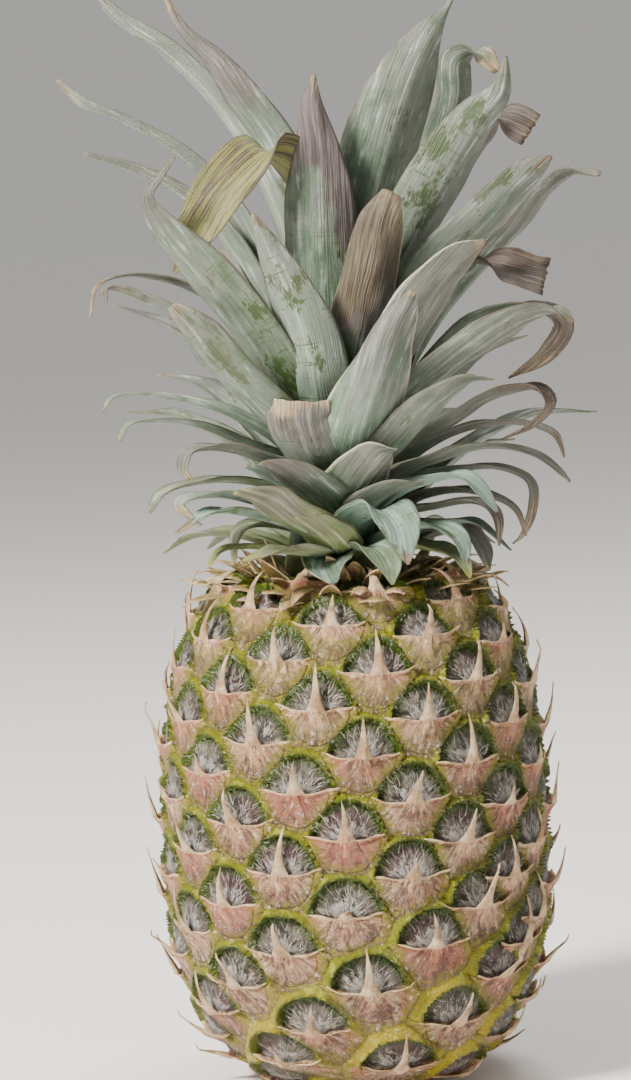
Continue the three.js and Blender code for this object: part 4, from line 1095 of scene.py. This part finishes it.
def bladeSections(half, share, side, settings, phase):
    # how far out and how high the points of each cross section are: cupped, folded, rolled and rippled
    leftSide, rightSide = np.clip(-side, 0, 1), np.clip(side, 0, 1)
    bend = math.radians(blade["cup"]) * (1 - (1 - blade["tipCup"]) * share)
    roll = settings["rollLeft"] * leftSide ** 2 + settings["rollRight"] * rightSide ** 2
    folded = (side + np.tanh(side * blade["fold"]) / math.tanh(blade["fold"])) / 2
    slope = bend[:, None] * folded + np.sign(side) * roll * smooth((share - 0.25) / 0.4)[:, None]
    middleSlope = (slope[:, 1:] + slope[:, :-1]) / 2
    step = side[1] - side[0]
    start = np.zeros((len(share), 1))
    reachOut = np.hstack([start, np.cumsum(np.cos(middleSlope) * step, axis=1)])
    rise = np.hstack([start, np.cumsum(np.sin(middleSlope) * step, axis=1)])
    middle = blade["columns"] // 2
    reachOut = (reachOut - reachOut[:, [middle]]) * half[:, None]
    rise = (rise - rise[:, [middle]]) * half[:, None]
    ripple = np.sin(share[:, None] * blade["slowRipple"] + phase[0] + side * 0.8) * np.abs(side) ** 3
    oneSide = rightSide if phase[2] > 3 else leftSide
    ripple = ripple + 0.6 * np.sin(share[:, None] * blade["fastRipple"] + phase[1]) * oneSide ** 2
    rise = rise + blade["wave"] * ripple * np.minimum(half / 9, 1)[:, None] * smooth(share / 0.3)[:, None]
    rise = rise - blade["keel"] * np.exp(-(side / 0.12) ** 2) * np.minimum(half / 8, 1)[:, None]
    return reachOut, rise


def crumple(points, inward, half, share, settings, phase):
    # dried and purple parts are crumpled the most
    rough = layeredNoise(points.reshape(-1, 3) + phase[3] * 40, blade["crumpleSize"], 31)
    worn = smooth((share - settings["dryFrom"] + 0.25) / 0.3)
    worn = worn + 0.6 * settings["purple"] * smooth((share - settings["purpleFrom"]) / 0.2)
    amount = settings["crumple"] * (0.25 + 1.6 * np.minimum(worn, 1.0)) * np.minimum(half / 6, 1)
    return points + inward[:, None] * (rough.reshape(points.shape[:2]) * amount[:, None])[..., None]


def tearTip(points, side, length, settings, phase):
    # each line of points ends a little sooner, by a notch of its own
    notches = np.abs(np.sin(side * 5 + phase[1]) + 0.5 * np.sin(side * 13 + phase[2]))
    tornBy = settings["torn"] * notches / length
    stations = np.arange(len(points))
    for j, lost in enumerate(tornBy):
        line = points[:, j].copy()
        for k in range(3):
            points[:, j, k] = np.interp(stations * (1 - lost), stations, line[:, k])


def buildBlade(name, knots, face, look, node, material, seed):
    settings = {**plainLook, **look}
    mesh = meshFrom(flatSheet(blade["columns"], blade["rows"]), name)
    grid = meshPoints(mesh)
    column = np.rint((grid[:, 0] + 1) / 2 * blade["columns"]).astype(int)
    row = np.rint((grid[:, 1] + 1) / 2 * blade["rows"]).astype(int)
    centre, width, share = curveThrough(knots, blade["rows"] + 1)
    reached, across, inward = bladeFrame(centre, face, share)
    side = np.linspace(-1, 1, blade["columns"] + 1)
    phase = np.random.default_rng(seed).random(6) * 2 * math.pi
    half = np.maximum(width / 2, blade["leastHalf"])
    half = half * (1 + blade["rootWiden"] * (1 - smooth(share / 0.22)))
    reachOut, rise = bladeSections(half, share, side, settings, phase)
    points = centre[:, None] + across[:, None] * reachOut[..., None] + inward[:, None] * rise[..., None]
    points = crumple(points, inward, half, share, settings, phase)
    tearTip(points, side, reached[-1], settings, phase)
    placePoints(mesh, points[row, column])
    looks = ("pale", "olive", "teal", "purple", "purpleFrom", "dryFrom", "dryTone", "rubbed", "edge")
    giveValues(mesh, acrossShare=side[column], alongShare=share[row],
               **{key: np.full(len(grid), settings[key]) for key in looks})
    place = mesh.attributes.new("bladePlace", "FLOAT_VECTOR", "POINT")
    apart = np.full(len(grid), 60.0 * phase[4])     # gives each leaf its own part of the patterns
    flatPlace = np.stack([side[column] * half[row], reached[row], apart], axis=1)
    place.data.foreach_set("vector", np.ascontiguousarray(flatPlace, dtype=np.float32).ravel())
    piece = newPiece(name, mesh, material, node)
    wall = giveWall(piece, blade["thick"])
    group = piece.vertex_groups.new(name="thickness")
    fullness = 1 - (1 - blade["edgeThin"]) * np.abs(side[column]) ** 2
    fullness = fullness * (1 - (1 - blade["tipThin"]) * share[row] ** 3)
    for index, weight in enumerate(fullness):
        group.add([index], float(weight), "REPLACE")
    wall.vertex_group = "thickness"


def waxedColour(place, along, across, side, streaks, clouds, mottle):
    # living blade under its bloom of wax
    pale, teal, olive = attribute("pale"), attribute("teal"), attribute("olive")
    green = mixColour(teal, (0.048, 0.100, 0.026), (0.045, 0.140, 0.055))
    green = mixColour(olive, green, (0.170, 0.215, 0.018))
    bloom = mixColour(pale, (0.108, 0.165, 0.108), (0.345, 0.430, 0.345))
    bloom = mixColour(times(ramp(plus(along, clouds), 0.75, 1.35), 0.6), bloom, (0.190, 0.175, 0.160))
    bloom = mixColour(times(teal, 0.8), bloom, (0.270, 0.430, 0.360))
    bloom = mixColour(times(olive, 0.75), bloom, (0.290, 0.335, 0.110))
    grain = noise(place, 1.3, 5.0, 0.7)
    cover = plus(times(grain, 0.13), times(mottle, 0.55))
    cover = plus(cover, times(streaks, 0.47))
    cover = plus(cover, sway(clouds, 0.6))
    cover = ramp(plus(cover, times(pale, 0.25)), 0.46, 0.72)
    cover = times(cover, ramp(along, 0.0, 0.48))
    colour = mixColour(cover, green, bloom)
    colour = mixColour(ramp(clouds, 0.36, 0.62), mixColour(0.5, colour, (0.085, 0.120, 0.100)), colour)
    # a painted highlight runs along the fold down the middle where the wax lies, and painted shade darkens
    # the right half
    fold = times(ramp(side, 0.08, 0.0), times(cover, 0.4))
    colour = mixColour(fold, colour, (0.490, 0.570, 0.490))
    shaded = times(ramp(across, -0.05, 0.30), 0.28)
    colour = mixColour(shaded, colour, (0.080, 0.098, 0.066))
    # painted highlights on the brightest streaks of wax
    highlightStreaks = times(ramp(plus(streaks, times(mottle, 0.6)), 0.86, 1.02), cover)
    return mixColour(times(highlightStreaks, 0.5), colour, (0.600, 0.690, 0.610))


def rubbedColour(colour, place, clouds, fine):
    # wax rubbed off in patches
    rubbed = attribute("rubbed")
    rub = plus(clouds, sway(fine, 0.42))
    rub = ramp(plus(rub, times(rubbed, 0.14)), 0.650, 0.725)
    rub = times(rub, ramp(rubbed, 0.08, 0.35))
    colour = mixColour(times(rub, 0.88), colour, (0.034, 0.070, 0.006))
    crossing = stretched(place, (0.12, 1.5, 1.0), 0.9)
    scratch = ramp(noise(crossing, 1.0, 2.0, 0.4), 0.655, 0.68)
    colour = mixColour(times(times(scratch, rubbed), 0.9), colour, (0.055, 0.100, 0.018))
    return colour, rub


def driedColour(colour, along, veins, streaks, clouds, mottle):
    # greyish purple where the blade has begun to dry, then tan and brown where it is dry
    rough = sway(clouds, 0.9)
    wander = plus(sway(streaks, 0.35), sway(clouds, 0.5))
    purple = ramp(minus(plus(along, rough), attribute("purpleFrom")), -0.05, 0.16)
    purple = times(purple, attribute("purple"))
    purpleTone = mixColour(ramp(streaks, 0.35, 0.7), (0.068, 0.050, 0.050), (0.200, 0.168, 0.168))
    colour = mixColour(purple, colour, purpleTone)
    dryEdge = plus(along, wander)
    dry = ramp(minus(dryEdge, attribute("dryFrom")), -0.02, 0.06)
    tan = mixColour(ramp(veins, 0.35, 0.65), (0.230, 0.155, 0.080), (0.500, 0.405, 0.260))
    brown = mixColour(ramp(veins, 0.4, 0.65), (0.050, 0.035, 0.028), (0.150, 0.115, 0.092))
    darker = plus(attribute("dryTone"), times(minus(0.80, along), 1.3))
    darker = plus(darker, times(minus(plus(streaks, mottle), 1.0), 1.5))
    dryColour = mixColour(sums("MINIMUM", sums("MAXIMUM", darker, 0.0), 1.0), tan, brown)
    husk = times(attribute("olive"), ramp(plus(streaks, times(veins, 0.5)), 0.64, 0.80))
    dryColour = mixColour(husk, dryColour, (0.260, 0.280, 0.065))
    return mixColour(dry, colour, dryColour)


def marginColour(colour, side, fine):
    # a thin margin, brown on most leaves and cream on those with a curled edge
    edge = attribute("edge")
    margin = ramp(plus(side, sway(fine, 0.12)), 0.90, 0.97)
    curled = ramp(edge, 0.45, 0.75)
    marginTone = mixColour(curled, (0.085, 0.062, 0.035), (0.500, 0.460, 0.340))
    return mixColour(times(margin, sums("MAXIMUM", edge, 0.55)), colour, marginTone)


def leafMaterial():
    material = startMaterial("leafFinish")
    place = attribute("bladePlace", "Vector")
    along = attribute("alongShare")
    across = attribute("acrossShare")
    side = sums("ABSOLUTE", across)
    mottle = noise(stretched(place, (0.22, 0.12, 1.0)), 1.0, 5.0, 0.65)
    veins = noise(stretched(place, (2.6, 0.05, 1.0)), 1.0, 3.0, 0.6)
    streaks = noise(stretched(place, (0.75, 0.05, 1.0)), 1.0, 4.0, 0.6)
    clouds = noise(stretched(place, (0.10, 0.055, 1.0)), 1.0, 3.0, 0.5)
    fine = noise(stretched(place, (1.4, 0.5, 1.0)), 1.0, 4.0, 0.65)
    colour = waxedColour(place, along, across, side, streaks, clouds, mottle)
    colour, rub = rubbedColour(colour, place, clouds, fine)
    colour = driedColour(colour, along, veins, streaks, clouds, mottle)
    lines = ramp(veins, 0.30, 0.70, 0.88, 1.07)
    colour = mixColour(1.0, colour, combined(lines, lines, lines), "MULTIPLY")
    colour = marginColour(colour, side, fine)
    specks = ramp(noise(place, 0.9, 2.0, 0.5), 0.70, 0.74)
    colour = mixColour(times(specks, 0.6), colour, (0.060, 0.055, 0.032))
    bump = plus(times(veins, 0.42), times(fine, 0.10))
    finishShader(colour, ramp(rub, 0.0, 1.0, 0.52, 0.38), bump, 0.0014, 0.45)
    return material


def stemMaterial():
    material = startMaterial("stemFinish")
    place = objectPlace()
    fibres = noise(stretched(place, (1.0, 1.0, 0.12)), 520.0, 4.0, 0.6)
    cloud = noise(place, 90.0, 4.0, 0.6)
    colour = mixColour(ramp(cloud, 0.35, 0.65), (0.050, 0.078, 0.018), (0.150, 0.160, 0.050))
    colour = mixColour(times(ramp(fibres, 0.52, 0.64), 0.6), colour, (0.200, 0.160, 0.090))
    finishShader(colour, 0.6, plus(fibres, cloud), 0.0010, 0.4)
    return material


def buildStem(material):
    start, top = stem["start"], stem["top"]
    profile = [(0, start), (stem["radius"] - 1, start)]
    profile += [(stemRadiusAt(z), z) for z in (*stem["levels"], top)]
    bm = spinProfile([*profile, (0, top + stem["tipRise"])], stem["around"])
    bmesh.ops.scale(bm, verts=bm.verts[:], vec=(mm, mm, mm))
    newPiece("crownStem", meshFrom(bm, "crownStem"), material, "crown_stem")


def backBlade(i):
    # the lowest one is at step 1 and leans out the most
    step = i / (backLeaves["leaves"] - 1)
    heading = 180 + backLeaves["spread"] * (((i + 1) * backLeaves["goldenShare"]) % 1 - 0.5)
    measures = ("rootZ", "lean", "bow", "length", "width")
    sizes = {key: backLeaves[key][0] + backLeaves[key][1] * step for key in measures}
    return archedBlade(heading, **sizes)


def footBlade(i):
    heading = footLeaves["from"] + i * footLeaves["spread"] / (footLeaves["leaves"] - 1)
    length = footLeaves["length"] + footLeaves["longer"] * (i % 3)
    return archedBlade(heading, footLeaves["rootZ"], footLeaves["lean"], footLeaves["bow"], length,
                       footLeaves["width"])


def skirtBlade(i):
    heading = 180 + skirtLeaves["spread"] * (i / (skirtLeaves["leaves"] - 1) - 0.5)
    rootZ = skirtLeaves["rootZ"] + skirtLeaves["higher"] * (i % 2)
    length = skirtLeaves["length"] + skirtLeaves["longer"] * (i % 3)
    return archedBlade(heading, rootZ, skirtLeaves["lean"], skirtLeaves["bow"], length, skirtLeaves["width"])


def heartBlade(i):
    rootZ = heartLeaves["rootZ"] - heartLeaves["lower"] * i
    length = heartLeaves["length"] - heartLeaves["shorter"] * i
    return archedBlade(i * heartLeaves["turn"], rootZ, heartLeaves["lean"] + i, heartLeaves["bow"], length,
                       heartLeaves["width"])


def buildCrown():
    finish = leafMaterial()
    buildStem(stemMaterial())
    leaves = [(name, *listedBlade(row), leafLooks[name]) for name, row in leafRows.items()]
    for i in range(backLeaves["leaves"]):
        look = {"pale": 0.3 + 0.4 * (i % 3) / 2, "purple": 0.3 * (i % 2), "rubbed": 0.4, "dryFrom": 0.92}
        leaves.append((f"back_{i + 1}", *backBlade(i), look))
    small = [(name, *listedBlade(row), basalLooks[name]) for name, row in basalRows.items()]
    for i in range(footLeaves["leaves"]):
        small.append((f"foot_{i + 1}", *footBlade(i), {"olive": 0.3 + 0.3 * (i % 3), "teal": 0.3}))
    for i in range(skirtLeaves["leaves"]):
        small.append((f"skirt_{i + 1}", *skirtBlade(i), {"pale": 0.4, "olive": 0.2}))
    for i in range(heartLeaves["leaves"]):
        small.append((f"heart_{i + 1}", *heartBlade(i), {"pale": 0.3, "olive": 0.3}))
    seed = blade["firstSeed"]
    for name, knots, face, look in leaves:
        seed += 1
        buildBlade(f"blade_{name}", knots, face, look, f"leaf_{name}", finish, seed)
    for name, knots, face, look in small:
        seed += 1
        buildBlade(f"foot_{name}", knots, face, look, "crown_stem", finish, seed)


buildSkin()
report("skin")
buildBracts()
buildWool()
buildCollar()
report("bracts")
buildStalk()
buildCrown()
report("crown")

# Floor, light and camera

view = {
    "distance": 1.100, "target": (0.0, 0.0, 0.175), "elevation": 5.0, "roll": 2.2,
    "focal": 3458.0, "frameHeight": 1080.0, "frameWidth": 631.0,
    "centreX": 344.6, "centreY": 533.0,
    "sensor": 24.0, "floorHalf": 60.0,
}


def plainMaterial(name, colour, roughness):
    material = bpy.data.materials.new(name)
    material.use_nodes = True
    shader = material.node_tree.nodes["Principled BSDF"]
    shader.inputs["Base Color"].default_value = (*colour, 1.0)
    shader.inputs["Roughness"].default_value = roughness
    return material


def buildStage():
    bm = flatSheet(1, 1)
    bmesh.ops.scale(bm, verts=bm.verts[:], vec=(view["floorHalf"], view["floorHalf"], 1.0))
    floor = bpy.data.objects.new("floor", meshFrom(bm, "floor"))
    bpy.context.scene.collection.objects.link(floor)
    floor.data.materials.append(plainMaterial("paleFloor", (0.90, 0.885, 0.86), 0.8))


# Each lamp's place, size, power and colour
lamps = {
    "keyLight": [(-1.05, -0.95, 1.25), 0.38, 88.0, (1.0, 0.95, 0.865)],
    "fillLight": [(1.3, -0.9, 0.5), 1.0, 3.0, (1.0, 0.95, 0.90)],
    "topLight": [(0.3, 0.5, 1.5), 0.7, 14.0, (1.0, 0.98, 0.95)],
}

room = {
    "sunPower": 0.3, "sunAngle": 40.0, "sunWay": (1.0, 0.9, -1.2),
    "colour": (0.94, 0.92, 0.885, 1.0), "strength": 0.46,
}


def areaLight(name, place, size, power, colour):
    data = bpy.data.lights.new(name, "AREA")
    data.shape = "DISK"
    data.size = size
    data.energy = power
    data.color = colour
    lamp = bpy.data.objects.new(name, data)
    lamp.location = place
    aim = Vector(view["target"]) - Vector(place)
    lamp.rotation_euler = aim.to_track_quat("-Z", "Y").to_euler()
    bpy.context.scene.collection.objects.link(lamp)


def buildSun():
    data = bpy.data.lights.new("roomSun", "SUN")
    data.energy = room["sunPower"]
    data.angle = math.radians(room["sunAngle"])
    lamp = bpy.data.objects.new("roomSun", data)
    lamp.rotation_euler = Vector(room["sunWay"]).to_track_quat("-Z", "Y").to_euler()
    bpy.context.scene.collection.objects.link(lamp)


def buildLight():
    for name, values in lamps.items():
        areaLight(name, *values)
    buildSun()
    world = bpy.data.worlds.new("paleRoom")
    world.use_nodes = True
    background = world.node_tree.nodes["Background"]
    background.inputs["Color"].default_value = room["colour"]
    background.inputs["Strength"].default_value = room["strength"]
    bpy.context.scene.world = world


def buildCamera():
    data = bpy.data.cameras.new("camera")
    camera = bpy.data.objects.new("camera", data)
    bpy.context.scene.collection.objects.link(camera)
    lift = math.radians(view["elevation"])
    back = Vector((0.0, -math.cos(lift), math.sin(lift)))
    camera.location = Vector(view["target"]) + back * view["distance"]
    aim = (-back).to_track_quat("-Z", "Y").to_matrix().to_4x4()
    camera.rotation_euler = (aim @ Matrix.Rotation(-math.radians(view["roll"]), 4, "Z")).to_euler()
    data.sensor_fit = "VERTICAL"
    data.sensor_height = view["sensor"]
    data.lens = view["sensor"] * view["focal"] / view["frameHeight"]
    data.shift_x = -(view["centreX"] - view["frameWidth"] / 2) / view["frameHeight"]
    data.shift_y = (view["centreY"] - view["frameHeight"] / 2) / view["frameHeight"]
    bpy.context.scene.camera = camera


buildStage()
buildLight()
buildCamera()
report("stage")
